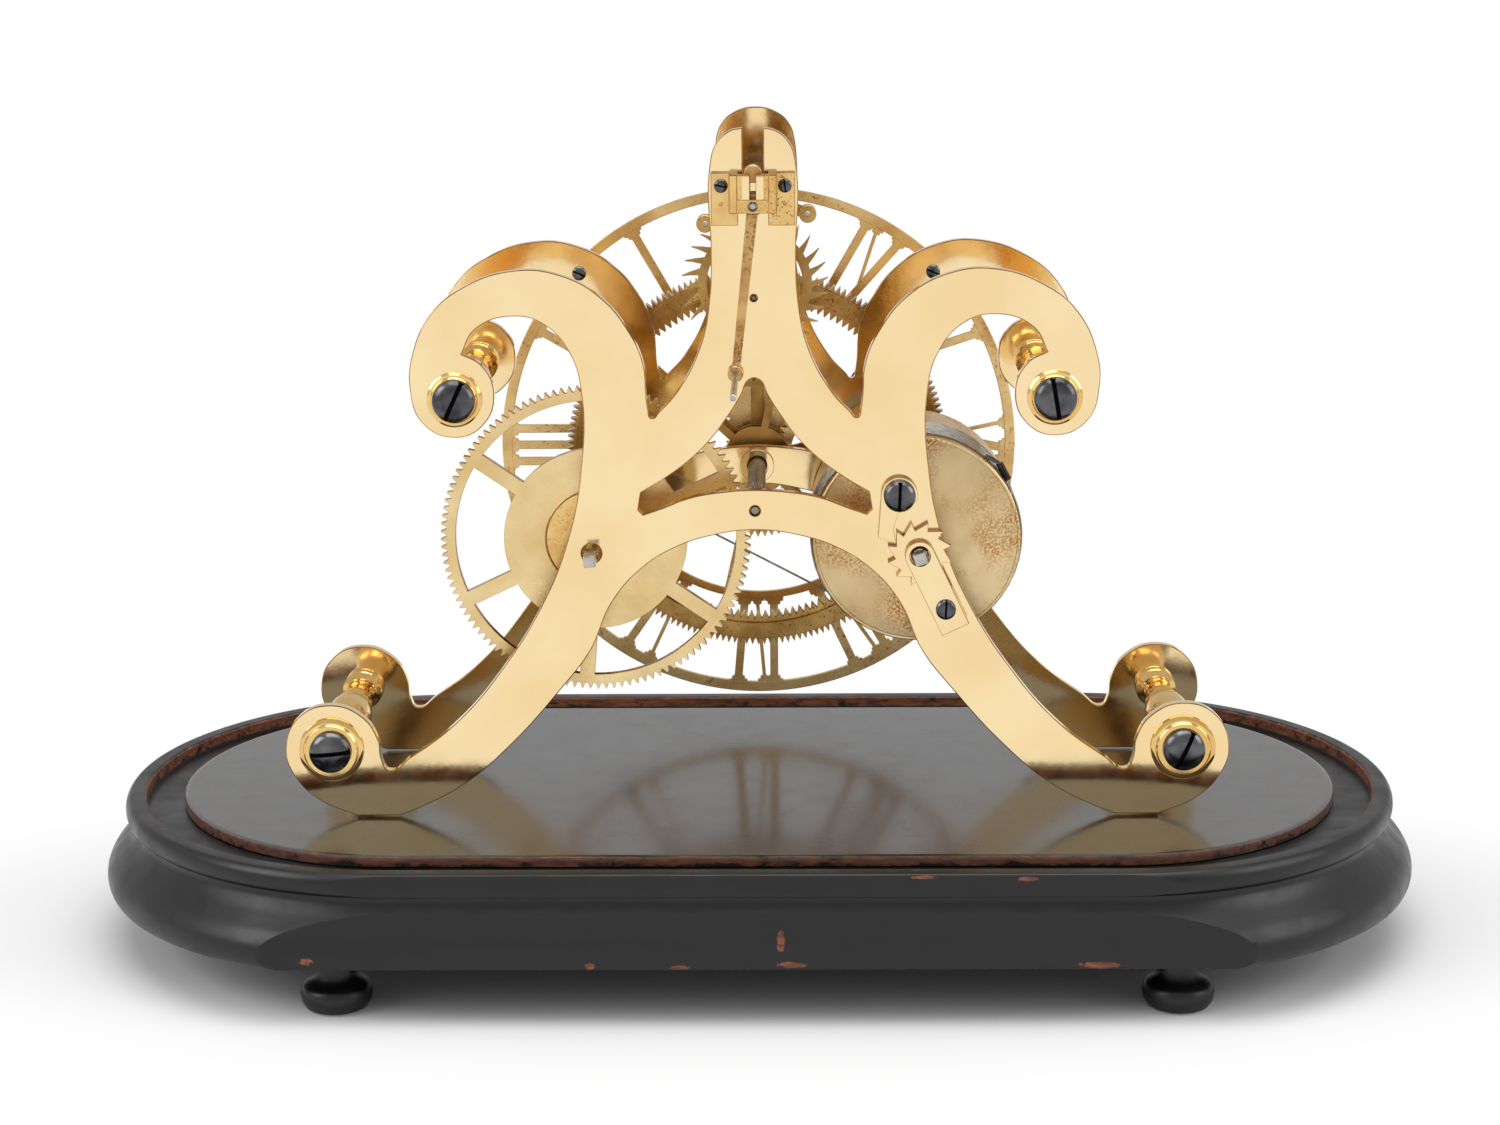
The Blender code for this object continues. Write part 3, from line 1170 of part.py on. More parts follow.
def make_planet():
    arm = flat("planet_arm", [
        capsule((0, 0), PLANET_PLACE, PLANET_ARM_HUB_RADIUS, PLANET_ARM_END_RADIUS, ROUND_SEGMENTS),
        round_hole(CENTRE_FRONT_RADIUS + PIVOT_PLAY),
        round_hole(PLANET_PIVOT_RADIUS + PIVOT_PLAY, PLANET_PLACE),
    ], PLANET_ARM_Y, PLANET_ARM_THICKNESS)
    finish(arm, BRASS)
    wheel_y = PLANET_ARM_Y + PLANET_ARM_THICKNESS + SEAT_GAP
    wheel_phase = inner_meshing_phase(0, RING_INNER_TEETH, PLANET_TEETH, PLANET_ANGLE)
    leaf_phase = meshing_phase(0, SUN_TEETH, PLANET_LEAVES, PLANET_ANGLE)
    wheel = flat("planet_wheel", [toothed(PLANET_TEETH, RING_INNER_MODULE, planet_tooth_shares,
                                          wheel_phase)],
                 wheel_y, PLANET_WHEEL_THICKNESS, PLANET_PLACE)
    leaf_y = wheel_y + PLANET_WHEEL_THICKNESS - OVERLAP
    leaves = flat("leaves", [toothed(PLANET_LEAVES, SUN_MODULE, planet_leaf_shares, leaf_phase)],
                  leaf_y, SUN_Y + SUN_THICKNESS - leaf_y, PLANET_PLACE)
    pivot = rod("pivot", PLANET_PIVOT_RADIUS, PLANET_ARM_Y, wheel_y + OVERLAP, PLANET_PLACE,
                HOLE_SEGMENTS)
    finish(join(wheel, leaves, pivot), BRASS)

    rim = SUN_MODULE * (SUN_TEETH / 2 + sun_tooth_shares[0][0]) - SUN_RIM_WIDTH
    sun = flat("sun_wheel", [toothed(SUN_TEETH, SUN_MODULE, sun_tooth_shares),
                             round_hole(CENTRE_FRONT_RADIUS + PIVOT_PLAY)]
               + windows(SUN_HUB_RADIUS, rim, SUN_SPOKES, SUN_SPOKE_WIDTH, SUN_SPOKE_ANGLE,
                         SMALL_WINDOW_STEPS),
               SUN_Y, SUN_THICKNESS)
    finish(sun, TARNISHED)


# Escapement

def make_escape_wheel():
    depth = ESCAPE_TIP_RADIUS - ESCAPE_ROOT_RADIUS
    outline = []
    for tooth in range(ESCAPE_TEETH):
        tip = ESCAPE_PHASE + math.tau * tooth / ESCAPE_TEETH
        for up, before in escape_tooth_shares:
            outline.append(polar(ESCAPE_ROOT_RADIUS + up * depth, tip - math.radians(before)))
    wheel = flat("escape_wheel", [outline] + windows(ESCAPE_HUB_RADIUS, ESCAPE_RIM_RADIUS, ESCAPE_SPOKES,
                                                     ESCAPE_SPOKE_WIDTH, ESCAPE_PHASE,
                                                     SMALL_WINDOW_STEPS),
                 ESCAPE_Y, ESCAPE_THICKNESS, ESCAPE_PLACE)
    collet_y = ESCAPE_Y - ESCAPE_THICKNESS
    collet_end = ESCAPE_Y + 2 * ESCAPE_THICKNESS
    collet = ESCAPE_HUB_RADIUS - SUN_RIM_WIDTH
    pivot_end = PLATE_THICKNESS + SEAT_GAP
    front_step = FRONT_COCK_Y - SEAT_GAP
    front_end = FRONT_COCK_Y + FRONT_COCK_THICKNESS - SEAT_GAP
    arbor = turned("arbor", [
        (0, SEAT_GAP), (ESCAPE_PIVOT_RADIUS, SEAT_GAP), (ESCAPE_PIVOT_RADIUS, pivot_end),
        (ESCAPE_ARBOR_RADIUS, pivot_end), (ESCAPE_ARBOR_RADIUS, collet_y), (collet, collet_y),
        (collet, collet_end), (ESCAPE_ARBOR_RADIUS, collet_end), (ESCAPE_ARBOR_RADIUS, front_step),
        (ESCAPE_PIVOT_RADIUS, front_step), (ESCAPE_PIVOT_RADIUS, front_end), (0, front_end),
    ], ESCAPE_PLACE, segments=HOLE_SEGMENTS)
    phase = meshing_phase(0, RING_OUTER_TEETH, ESCAPE_LEAVES, math.pi / 2)
    pinion_y = RING_Y - (ESCAPE_PINION_LENGTH - RING_THICKNESS) / 2
    pinion = flat("pinion", [toothed(ESCAPE_LEAVES, ESCAPE_MODULE, escape_leaf_shares, phase)],
                  pinion_y, ESCAPE_PINION_LENGTH, ESCAPE_PLACE)
    return finish(join(wheel, arbor, pinion), BRASS)


def hanging(radius, angle, side):
    """A place about the pallet arbor, at an angle up from straight below it."""
    return (side * radius * math.sin(angle), -radius * math.cos(angle))


def make_pallets():
    """At rest the pin on +X stands higher, and the crutch hangs a little towards -X."""
    hub = flat("pallets", [circle(PALLET_HUB_RADIUS, segments=SMALL_SEGMENTS)], PALLET_Y,
               PALLET_THICKNESS, PALLET_PLACE)
    pieces = []
    for side in (-1, 1):
        pin = hanging(PALLET_RADIUS, PALLET_MIDDLE_ANGLE + side * PALLET_REST_ANGLE, side)
        arm_y = PALLET_Y + OVERLAP
        arm_thickness = PALLET_THICKNESS - 2 * OVERLAP
        half = PALLET_ARM_WIDTH / 2
        pieces.append(flat("arm", [capsule((0, 0), pin, half, half)], arm_y, arm_thickness,
                           PALLET_PLACE))
        boss_y = PALLET_Y - (PALLET_BOSS_LENGTH - PALLET_THICKNESS) / 2
        pin_place = (pin[0] + PALLET_PLACE[0], pin[1] + PALLET_PLACE[1])
        pieces.append(rod("boss", PALLET_BOSS_RADIUS, boss_y, boss_y + PALLET_BOSS_LENGTH, pin_place,
                          SMALL_SEGMENTS))
        pin_y = boss_y - OVERLAP
        pieces.append(rod("pin", PALLET_PIN_RADIUS, pin_y, pin_y + PALLET_PIN_LENGTH, pin_place,
                          HOLE_SEGMENTS))
    block_y = -COCK_REACH
    pivot_start = block_y + SEAT_GAP
    pivot_end = block_y + COCK_BLOCK_THICKNESS + SEAT_GAP
    step = FRONT_PLATE_Y - SEAT_GAP
    front = FRONT_FACE_Y - SEAT_GAP
    arbor = turned("arbor", [
        (0, pivot_start), (PALLET_PIVOT_RADIUS, pivot_start), (PALLET_PIVOT_RADIUS, pivot_end),
        (PALLET_ARBOR_RADIUS, pivot_end), (PALLET_ARBOR_RADIUS, step), (PALLET_PIVOT_RADIUS, step),
        (PALLET_PIVOT_RADIUS, front), (0, front),
    ], PALLET_PLACE, segments=HOLE_SEGMENTS)
    finish(join(hub, *pieces, arbor), STEEL)

    end = hanging(CRUTCH_LENGTH, CRUTCH_REST_ANGLE, -1)
    end_place = (end[0] + PALLET_PLACE[0], end[1] + PALLET_PLACE[1])
    hub_start = CRUTCH_Y - OVERLAP
    hub_end = CRUTCH_Y + CRUTCH_THICKNESS + OVERLAP
    strip = flat("crutch", [capsule((0, 0), end, CRUTCH_TOP_WIDTH / 2, CRUTCH_END_WIDTH / 2)],
                 CRUTCH_Y, CRUTCH_THICKNESS, PALLET_PLACE)
    hub = rod("hub", CRUTCH_HUB_RADIUS, hub_start, hub_end, PALLET_PLACE)
    boss = rod("boss", CRUTCH_BOSS_RADIUS, CRUTCH_Y - OVERLAP / 2, hub_end, end_place)
    pin = rod("pin", CRUTCH_PIN_RADIUS, CRUTCH_Y - CRUTCH_PIN_LENGTH, CRUTCH_Y + OVERLAP, end_place,
              HOLE_SEGMENTS)
    bore = rod("bore", PALLET_ARBOR_RADIUS + PIVOT_PLAY, hub_start - OVERRUN, hub_end + OVERRUN,
               PALLET_PLACE, HOLE_SEGMENTS)
    finish(cut(join(strip, hub, boss, pin), bore), TARNISHED)


def make_suspension_cock():
    """Two feet on the column with a raised block between them over the crutch's hub."""
    face = -SEAT_GAP
    foot = face - COCK_FOOT_THICKNESS
    block = -COCK_REACH
    inside = block + COCK_BLOCK_THICKNESS
    outline = [
        (-COCK_HALF_WIDTH, face), (-COCK_HALF_WIDTH, foot), (-COCK_BLOCK_HALF_WIDTH, foot),
        (-COCK_BLOCK_HALF_WIDTH, block), (COCK_BLOCK_HALF_WIDTH, block),
        (COCK_BLOCK_HALF_WIDTH, foot), (COCK_HALF_WIDTH, foot), (COCK_HALF_WIDTH, face),
        (COCK_CAVITY_HALF_WIDTH, face), (COCK_CAVITY_HALF_WIDTH, inside),
        (-COCK_CAVITY_HALF_WIDTH, inside), (-COCK_CAVITY_HALF_WIDTH, face),
    ]
    height = COCK_TOP_Z - COCK_FOOT_BOTTOM_Z
    cock = flat("suspension_cock", [outline], 0, height)
    cock.rotation_euler = (0, 0, 0)
    cock.location = (0, 0, COCK_FOOT_BOTTOM_Z + height / 2)
    below = box("below", (-COCK_BLOCK_HALF_WIDTH - OVERLAP, block - OVERRUN,
                          COCK_FOOT_BOTTOM_Z - OVERRUN),
                (COCK_BLOCK_HALF_WIDTH + OVERLAP, foot, COCK_BLOCK_BOTTOM_Z))
    slot = box("slot", (-COCK_SLOT_HALF_WIDTH, block - OVERRUN, COCK_SLOT_BOTTOM_Z),
               (COCK_SLOT_HALF_WIDTH, inside + OVERRUN, COCK_TOP_Z + OVERRUN))
    pivot = rod("pivot", PALLET_PIVOT_RADIUS + PIVOT_PLAY, block - OVERRUN, inside + OVERRUN,
                PALLET_PLACE, HOLE_SEGMENTS)
    holes = [rod("hole", SMALL_SHANK_RADIUS + PIVOT_PLAY, foot - OVERRUN, OVERRUN, (x, COCK_SCREW_Z),
                 HOLE_SEGMENTS) for x in (-COCK_SCREW_X, COCK_SCREW_X)]
    cock = cut(cock, below, slot, pivot, *holes)
    finish(cock, BRASS)
    mesh = screw_mesh("cock_screw", COCK_SCREW_HEAD_RADIUS, COCK_SCREW_HEAD_HEIGHT, SMALL_SHANK_RADIUS,
                      COCK_FOOT_THICKNESS + PLATE_THICKNESS)
    for side, x, turn in (("left", -COCK_SCREW_X, math.radians(-12)),
                          ("right", COCK_SCREW_X, math.radians(98))):
        place_screw(f"cock_screw_{side}", mesh, (x, COCK_SCREW_Z), foot - SEAT_GAP, turn)


# Front cock, motion work, hands and dial

def make_front_cock():
    foot_middle = (FRONT_COCK_FOOT_LOW_Z + FRONT_COCK_FOOT_TOP_Z) / 2
    end = FRONT_COCK_Y + FRONT_COCK_THICKNESS
    bar = box("front_cock", (-FRONT_COCK_WIDTH / 2, FRONT_COCK_Y, 0),
              (FRONT_COCK_WIDTH / 2, end, foot_middle))
    hub = rod("hub", FRONT_COCK_HUB_RADIUS, FRONT_COCK_Y - OVERLAP / 2, end + OVERLAP, (0, 0),
              ROUND_SEGMENTS)
    pad = rod("pad", FRONT_COCK_PAD_RADIUS, FRONT_COCK_Y - OVERLAP / 2, end + OVERLAP, ESCAPE_PLACE)
    foot = box("foot", (-FRONT_COCK_FOOT_HALF_WIDTH, FRONT_FACE_Y + SEAT_GAP, FRONT_COCK_FOOT_LOW_Z),
               (FRONT_COCK_FOOT_HALF_WIDTH, end + OVERLAP / 2, FRONT_COCK_FOOT_TOP_Z))
    stud = rod("stud", MOTION_STUD_RADIUS, end - OVERLAP, end + MOTION_STUD_LENGTH, MOTION_PLACE,
               HOLE_SEGMENTS)
    cock = join(bar, hub, pad, foot, stud)
    centre = rod("centre", CENTRE_FRONT_RADIUS + PIVOT_PLAY, FRONT_COCK_Y - OVERRUN, end + OVERRUN)
    pivot = rod("pivot", ESCAPE_PIVOT_RADIUS + PIVOT_PLAY, FRONT_COCK_Y - OVERRUN, end + OVERRUN,
                ESCAPE_PLACE, HOLE_SEGMENTS)
    hole = rod("hole", FRONT_COCK_SCREW_SHANK + PIVOT_PLAY, FRONT_FACE_Y - OVERRUN, end + OVERRUN,
               (0, FRONT_COCK_SCREW_Z), HOLE_SEGMENTS)
    finish(cut(cock, centre, pivot, hole), BRASS)
    mesh = screw_mesh("front_cock_screw", FRONT_COCK_SCREW_RADIUS, FRONT_COCK_SCREW_HEIGHT,
                      FRONT_COCK_SCREW_SHANK, end - FRONT_PLATE_Y)
    place_screw("front_cock_screw", mesh, (0, FRONT_COCK_SCREW_Z), end + OVERLAP / 2 + SEAT_GAP,
                math.radians(20), facing_front=True)


def make_motion_work():
    first_y = MOTION_Y
    cannon_bore = CENTRE_HAND_RADIUS + PIVOT_PLAY
    leaf_end = first_y + MOTION_THICKNESS + SEAT_GAP
    leaves = flat("leaves", [toothed(CANNON_LEAVES, MOTION_MODULE, cannon_leaf_shares),
                             round_hole(cannon_bore)], first_y, leaf_end - first_y)
    pipe_end = MINUTE_HAND_Y - SEAT_GAP
    pipe = turned("cannon_pinion", [
        (CANNON_PIPE_RADIUS, first_y + OVERLAP), (CANNON_PIPE_RADIUS, pipe_end), (cannon_bore, pipe_end),
        (cannon_bore, first_y + OVERLAP)], ring=True)
    finish(join(pipe, leaves), STEEL)

    phase = meshing_phase(0, CANNON_LEAVES, MINUTE_WHEEL_TEETH, math.pi / 2)
    bore = MOTION_STUD_RADIUS + PIVOT_PLAY
    wheel = flat("minute_wheel", [toothed(MINUTE_WHEEL_TEETH, MOTION_MODULE, minute_wheel_tooth_shares,
                                          phase), round_hole(bore)],
                 first_y, MOTION_THICKNESS, MOTION_PLACE)
    leaf_y = first_y + MOTION_THICKNESS - OVERLAP
    hour_y = first_y + 2 * MOTION_THICKNESS + 2 * SEAT_GAP
    leaf_length = hour_y + MOTION_THICKNESS - leaf_y
    leaves = flat("leaves", [toothed(MINUTE_LEAVES, HOUR_MODULE, minute_leaf_shares), round_hole(bore)],
                  leaf_y, leaf_length, MOTION_PLACE)
    finish(join(wheel, leaves), BRASS)

    phase = meshing_phase(0, MINUTE_LEAVES, HOUR_WHEEL_TEETH, -math.pi / 2)
    bore = CANNON_PIPE_RADIUS + PIVOT_PLAY
    wheel = flat("hour_wheel", [toothed(HOUR_WHEEL_TEETH, HOUR_MODULE, hour_wheel_tooth_shares, phase),
                                round_hole(bore)], hour_y, MOTION_THICKNESS)
    pipe_end = HOUR_HAND_Y - SEAT_GAP
    pipe = turned("pipe", [
        (HOUR_PIPE_RADIUS, hour_y + OVERLAP), (HOUR_PIPE_RADIUS, pipe_end), (bore, pipe_end),
        (bore, hour_y + OVERLAP)], ring=True)
    finish(join(wheel, pipe), BRASS)


def make_hand(name, start_y, length, angle, bore):
    """A blued hand: hub, thin shank, ring and a pointed tip."""
    loop = hand_loop_share * length
    half = HAND_SHANK_WIDTH / 2
    hub = flat(name, [circle(HAND_HUB_RADIUS, segments=HAND_LOOP_SEGMENTS), round_hole(bore)], start_y,
               HAND_THICKNESS)
    inset = OVERLAP / 2
    centre = polar(loop, angle)
    ring = flat("ring", [circle(HAND_LOOP_RADIUS, centre, HAND_LOOP_SEGMENTS),
                         circle(HAND_LOOP_RADIUS - HAND_LOOP_WIDTH, centre, HAND_LOOP_SEGMENTS)],
                start_y, HAND_THICKNESS)
    near = HAND_HUB_RADIUS - HAND_LOOP_WIDTH / 2
    far = loop - HAND_LOOP_RADIUS + HAND_LOOP_WIDTH / 2
    side = (-math.sin(angle), math.cos(angle))

    def across(reach, offset):
        x, z = polar(reach, angle)
        return (x + side[0] * offset, z + side[1] * offset)
    shank = flat("shank", [[across(near, -half), across(far, -half), across(far, half),
                            across(near, half)]], start_y + inset, HAND_THICKNESS - 2 * inset)
    root = loop + HAND_LOOP_RADIUS - HAND_LOOP_WIDTH / 2
    tip = flat("tip", [[across(root, -half), across(length, -half * hand_tip_share),
                        across(length, half * hand_tip_share), across(root, half)]],
               start_y + inset, HAND_THICKNESS - 2 * inset)
    return finish(join(hub, ring, shank, tip), BLUED)


def numeral_strokes(numeral):
    """Strokes of a numeral: places across at its outer and inner ends, and a width."""
    advance = {"I": ADVANCE_I, "V": ADVANCE_V, "X": ADVANCE_X}
    total = sum(advance[letter] for letter in numeral)
    at = -total / 2
    strokes = []
    for letter in numeral:
        middle = at + advance[letter] / 2
        if letter == "I":
            strokes.append((middle, middle, THICK_STROKE))
        elif letter == "V":
            strokes.append((middle - V_OUTER_HALF, middle - V_INNER_HALF, THICK_STROKE))
            strokes.append((middle + V_OUTER_HALF, middle + V_INNER_HALF, THIN_STROKE))
        else:
            strokes.append((middle - X_OUTER_HALF, middle + X_INNER_HALF, THICK_STROKE))
            strokes.append((middle + X_OUTER_HALF, middle - X_INNER_HALF, THIN_STROKE))
        at += advance[letter]
    return strokes


def stroke_outline(outer, inner, width, low, high, direction):
    """A stroke from radius low to high; across runs clockwise from in front."""
    def at(across, up):
        radial = polar(up, direction)
        return (radial[0] - across * math.sin(direction), radial[1] + across * math.cos(direction))

    def across_at(up):
        return inner + (outer - inner) * (up - low) / (high - low)
    half = width / 2
    left = [at(across_at(up) - half, up) for up in (low, high)]
    right = [at(across_at(up) + half, up) for up in (high, low)]
    return left + right


def make_dial():
    inner_edge = DIAL_INNER_RADIUS + DIAL_INNER_BAND
    outer_edge = DIAL_RADIUS - DIAL_OUTER_BAND
    dial = flat("dial", [circle(DIAL_RADIUS, segments=DIAL_SEGMENTS),
                         circle(outer_edge, segments=DIAL_SEGMENTS)], DIAL_Y, DIAL_THICKNESS)
    inner = flat("inner", [circle(inner_edge, segments=DIAL_SEGMENTS),
                           circle(DIAL_INNER_RADIUS, segments=DIAL_SEGMENTS)], DIAL_Y, DIAL_THICKNESS)
    low = inner_edge - DIAL_INNER_BAND / 2
    high = outer_edge + DIAL_OUTER_BAND / 4
    # Seen from behind, the hours run anticlockwise from the top.
    for hour, numeral in enumerate(NUMERALS, start=1):
        direction = math.pi / 2 + math.tau * hour / 12
        for order, (outer, inside, width) in enumerate(numeral_strokes(numeral)):
            inset = STROKE_INSET * (1 + order % 2 + 2 * (width < THICK_STROKE))
            stroke = flat("stroke", [stroke_outline(outer, inside, width, low, high, direction)],
                          DIAL_Y + inset, DIAL_THICKNESS - 2 * inset)
            dial = join(dial, stroke)
    dial = join(dial, inner)
    foot_y = FRONT_FACE_Y + SEAT_GAP
    for degrees in dial_feet_degrees:
        place = polar(DIAL_RADIUS - DIAL_OUTER_BAND / 2, math.radians(degrees))
        dial = join(dial, rod("foot", DIAL_FOOT_RADIUS, foot_y, DIAL_Y + OVERLAP, place, HOLE_SEGMENTS))
    return finish(dial, BRASS)


make_base()
make_plates()
make_pillars()
make_pillar_fixings()
make_great_wheel()
make_fusee()
make_line()
make_barrel()
make_ratchet()
make_centre()
make_ring_wheel()
make_planet()
make_escape_wheel()
make_pallets()
make_suspension_cock()
make_front_cock()
make_motion_work()
make_hand("hour_hand", HOUR_HAND_Y, HOUR_HAND_LENGTH, HOUR_HAND_ANGLE, CANNON_PIPE_RADIUS + PIVOT_PLAY)
make_hand("minute_hand", MINUTE_HAND_Y, MINUTE_HAND_LENGTH, MINUTE_HAND_ANGLE,
          CENTRE_HAND_RADIUS + PIVOT_PLAY)
make_dial()
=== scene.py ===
# %% [markdown]
# # A skeleton clock, seen from behind
# The clock is a brass movement between two pierced plates on an oval ebonised base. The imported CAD
# model is loaded first and never moved: each piece below is built in the same frame, stands for the
# CAD node of the same part, and rides on the body that the part turns with.

# %% Load the frame
from math import asin, atan2, cos, hypot, pi, radians, sin, tau as TAU
import bmesh
import bpy
from mathutils import Matrix, Vector


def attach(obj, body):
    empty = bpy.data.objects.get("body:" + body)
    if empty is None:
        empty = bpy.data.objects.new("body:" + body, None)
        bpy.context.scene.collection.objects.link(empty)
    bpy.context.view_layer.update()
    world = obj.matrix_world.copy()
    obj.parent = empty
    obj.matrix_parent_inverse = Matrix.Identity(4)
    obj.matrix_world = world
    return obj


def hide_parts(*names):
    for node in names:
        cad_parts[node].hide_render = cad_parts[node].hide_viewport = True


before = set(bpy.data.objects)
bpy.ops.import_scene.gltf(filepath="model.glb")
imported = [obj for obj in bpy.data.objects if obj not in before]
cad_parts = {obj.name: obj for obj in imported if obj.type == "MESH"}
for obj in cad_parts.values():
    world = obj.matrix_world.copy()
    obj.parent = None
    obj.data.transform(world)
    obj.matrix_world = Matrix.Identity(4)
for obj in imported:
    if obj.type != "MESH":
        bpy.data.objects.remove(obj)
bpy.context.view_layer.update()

# %% [markdown]
# ## Units and places
# The movement is drawn in millimetres from the centre arbor at the back face of the rear plate: X to
# the right, Y into the clock, Z up. One function turns such a mesh into the frame's metres, with its
# place baked in, so that every finished object sits at the origin.

# %% Units
MM = 0.001
ORIGIN, CENTRE = Vector((0, 0, 0)), Vector((0, -0.0385, 0.129))
COLLECTION = bpy.data.collections.new("clock_pieces")
bpy.context.scene.collection.children.link(COLLECTION)


def polar(radius, angle, centre=(0, 0)):
    return (centre[0] + radius * cos(angle), centre[1] + radius * sin(angle))


def arc(radius, start, end, steps, centre=(0, 0)):
    return [polar(radius, start + (end - start) * k / steps, centre) for k in range(steps + 1)]


def circle(radius, centre=(0, 0), count=40):
    return arc(radius, 0, TAU, count, centre)[:-1]


def swung(points, angle):
    return [(x * cos(angle) - z * sin(angle), x * sin(angle) + z * cos(angle)) for x, z in points]


GREAT = polar(45.89, radians(194.65))
BARREL = (-GREAT[0], GREAT[1])
ESCAPE, PALLET, PLANET, MINUTE = (0, 57.80), (0, 82.9), (26.0, 0), (0, 12.0)
PILLARS = [(side * x, z) for x, z in ((80.35, 30.82), (117.08, -66.75)) for side in (-1, 1)]
LEVELS, ENDS, SIDES = ("upper", "lower"), ("back", "front"), ("left", "right")
print("arbors:", GREAT, BARREL)

# %% [markdown]
# ## Camera
# The photograph was taken from a little above and with a long lens. Its pitch, turn and tilt come
# from fitting one camera to the plate's screws, arbors and base.

# %% Camera
PITCH, YAW, ROLL = radians(13.0), radians(0.762), radians(0.385)
SENSOR, FOCAL_PIXELS, PICTURE_WIDTH = 36.0, 2944.9, 1500
CAMERA_PLACE = Vector((8.9, -777.8, 165.3))
camera = bpy.data.cameras.new("photo_camera")
camera.sensor_width = SENSOR
camera.lens = SENSOR * FOCAL_PIXELS / PICTURE_WIDTH
camera_object = bpy.data.objects.new("photo_camera", camera)
bpy.context.scene.collection.objects.link(camera_object)
ahead = Vector((-sin(YAW) * cos(PITCH), cos(YAW) * cos(PITCH), -sin(PITCH)))
right = Vector((cos(YAW), sin(YAW), 0))
down = ahead.cross(right)
tilted_right = cos(ROLL) * right + sin(ROLL) * down
tilted_down = -sin(ROLL) * right + cos(ROLL) * down
turn = Matrix((tilted_right, -tilted_down, -ahead)).transposed().to_4x4()
camera_object.matrix_world = Matrix.Translation(CENTRE + CAMERA_PLACE * MM) @ turn
bpy.context.scene.camera = camera_object
bpy.context.scene.view_settings.view_transform = "Standard"
print("lens:", round(camera.lens, 2))

# %% [markdown]
# ## Material helpers
# Colours are written as sRGB hex values, as a colour picker shows them. One function adds a node with
# its settings, its links and its colour stops, whatever its kind, so that a tree of any sort reads as
# a list of nodes.

# %% Material helpers
def colour(text):
    values = [int(text[i:i + 2], 16) / 255 for i in (1, 3, 5)]
    linear = [v / 12.92 if v <= 0.04045 else ((v + 0.055) / 1.055) ** 2.4 for v in values]
    return (*linear, 1.0)


def grey(value):
    return (value, value, value, 1.0)


def greys(start, end, low=0, high=1):
    """Two stops of a colour ramp, from a low value to a high one."""
    return (start, grey(low)), (end, grey(high))


def add(tree, kind, inputs=(), out=0, stops=(), **settings):
    """Add a node and give one of its outputs, or the node itself if out is None.

    Inputs are values or sockets in their order, or by name; a list links several to one socket."""
    node = tree.nodes.new(kind)
    for name, value in settings.items():
        setattr(node, name, value)
    for name, value in (inputs if isinstance(inputs, dict) else dict(enumerate(inputs))).items():
        for item in value if isinstance(value, list) else [value]:
            if isinstance(item, bpy.types.NodeSocket):
                tree.links.new(item, node.inputs[name])
            else:
                node.inputs[name].default_value = item
    for element, (position, value) in zip(node.color_ramp.elements if stops else (), stops):
        element.position, element.color = position, value
    return node if out is None else node.outputs[out]


def new_material(name, **constants):
    """A Principled material with constants on the shader's own sockets, and a way to link the rest."""
    material = bpy.data.materials.new(name)
    material.use_nodes = True
    tree = material.node_tree
    shader = tree.nodes["Principled BSDF"]

    def feed(**sockets):
        for socket, value in sockets.items():
            tree.links.new(value, shader.inputs[socket.replace("_", " ")])
    for socket, value in constants.items():
        shader.inputs[socket.replace("_", " ")].default_value = value
    return material, tree, feed


def blotches(tree, size_mm, detail=4.0, stretch=(1, 1, 1), rough=0.5):
    """Noise on Object coordinates whose blotches are about size_mm wide."""
    scaled = add(tree, "ShaderNodeMapping", {"Vector": add(tree, "ShaderNodeTexCoord", out="Object"),
                                             "Scale": stretch})
    return add(tree, "ShaderNodeTexNoise", {"Vector": scaled, "Scale": 1 / (size_mm * MM),
                                            "Detail": detail, "Roughness": rough})


print("paper white is", colour("#FFFFFF"))

# %% [markdown]
# ## Brass
# The plates are cut from sheet, stoned and polished, so they are nearly mirrors: they look pale where
# they reflect the white table and deep orange where they reflect each other. The wheels were left with
# the finer grain of the file, and old brass that nobody lacquered goes brown in soft blotches.

# %% Brass finishes
def brass(name, light, deep, low, high, blotch_mm=18, spots=None, grain=None):
    """Brass between two tints, with roughness from low to high, and rusty spots if they are given."""
    material, tree, feed = new_material(name, Metallic=1.0)
    tint = add(tree, "ShaderNodeValToRGB", [blotches(tree, blotch_mm, 5.0)],
               stops=((0.36, colour(light)), (0.66, colour(deep))))
    if spots:
        spot_colour, spot_mm, edge = spots
        speck = add(tree, "ShaderNodeValToRGB", [blotches(tree, spot_mm, 2.0)],
                    stops=greys(edge, edge + 0.10))
        area = add(tree, "ShaderNodeValToRGB", [blotches(tree, 22, 3.0, rough=0.6)], stops=greys(0.44, 0.62))
        amount = add(tree, "ShaderNodeMix", {0: 1.0, 6: speck, 7: area}, 2, data_type="RGBA",
                     blend_type="MULTIPLY")
        tint = add(tree, "ShaderNodeMix", {0: amount, 6: tint, 7: colour(spot_colour)}, 2, data_type="RGBA")
    # Fingermarks and fine rub marks change the gloss more than the colour.
    gloss = add(tree, "ShaderNodeValToRGB", [blotches(tree, 6, 6.0, rough=0.65)],
                stops=greys(0.35, 0.70, low, high))
    fine, depth_mm = (blotches(tree, 0.7, 3.0, grain), 0.02) if grain else (blotches(tree, 3.0, 3.0), 0.012)
    relief = add(tree, "ShaderNodeBump", {"Height": fine, "Strength": 1.0, "Distance": depth_mm * MM})
    feed(Base_Color=tint, Roughness=gloss, Normal=relief)
    return material


# Polished sheet is nearly a mirror, with only a slow drift of tone over a plate.
PLATE_BRASS = brass("polished_sheet_brass", "#F8E0B0", "#F4D6A0", 0.07, 0.13, 30)
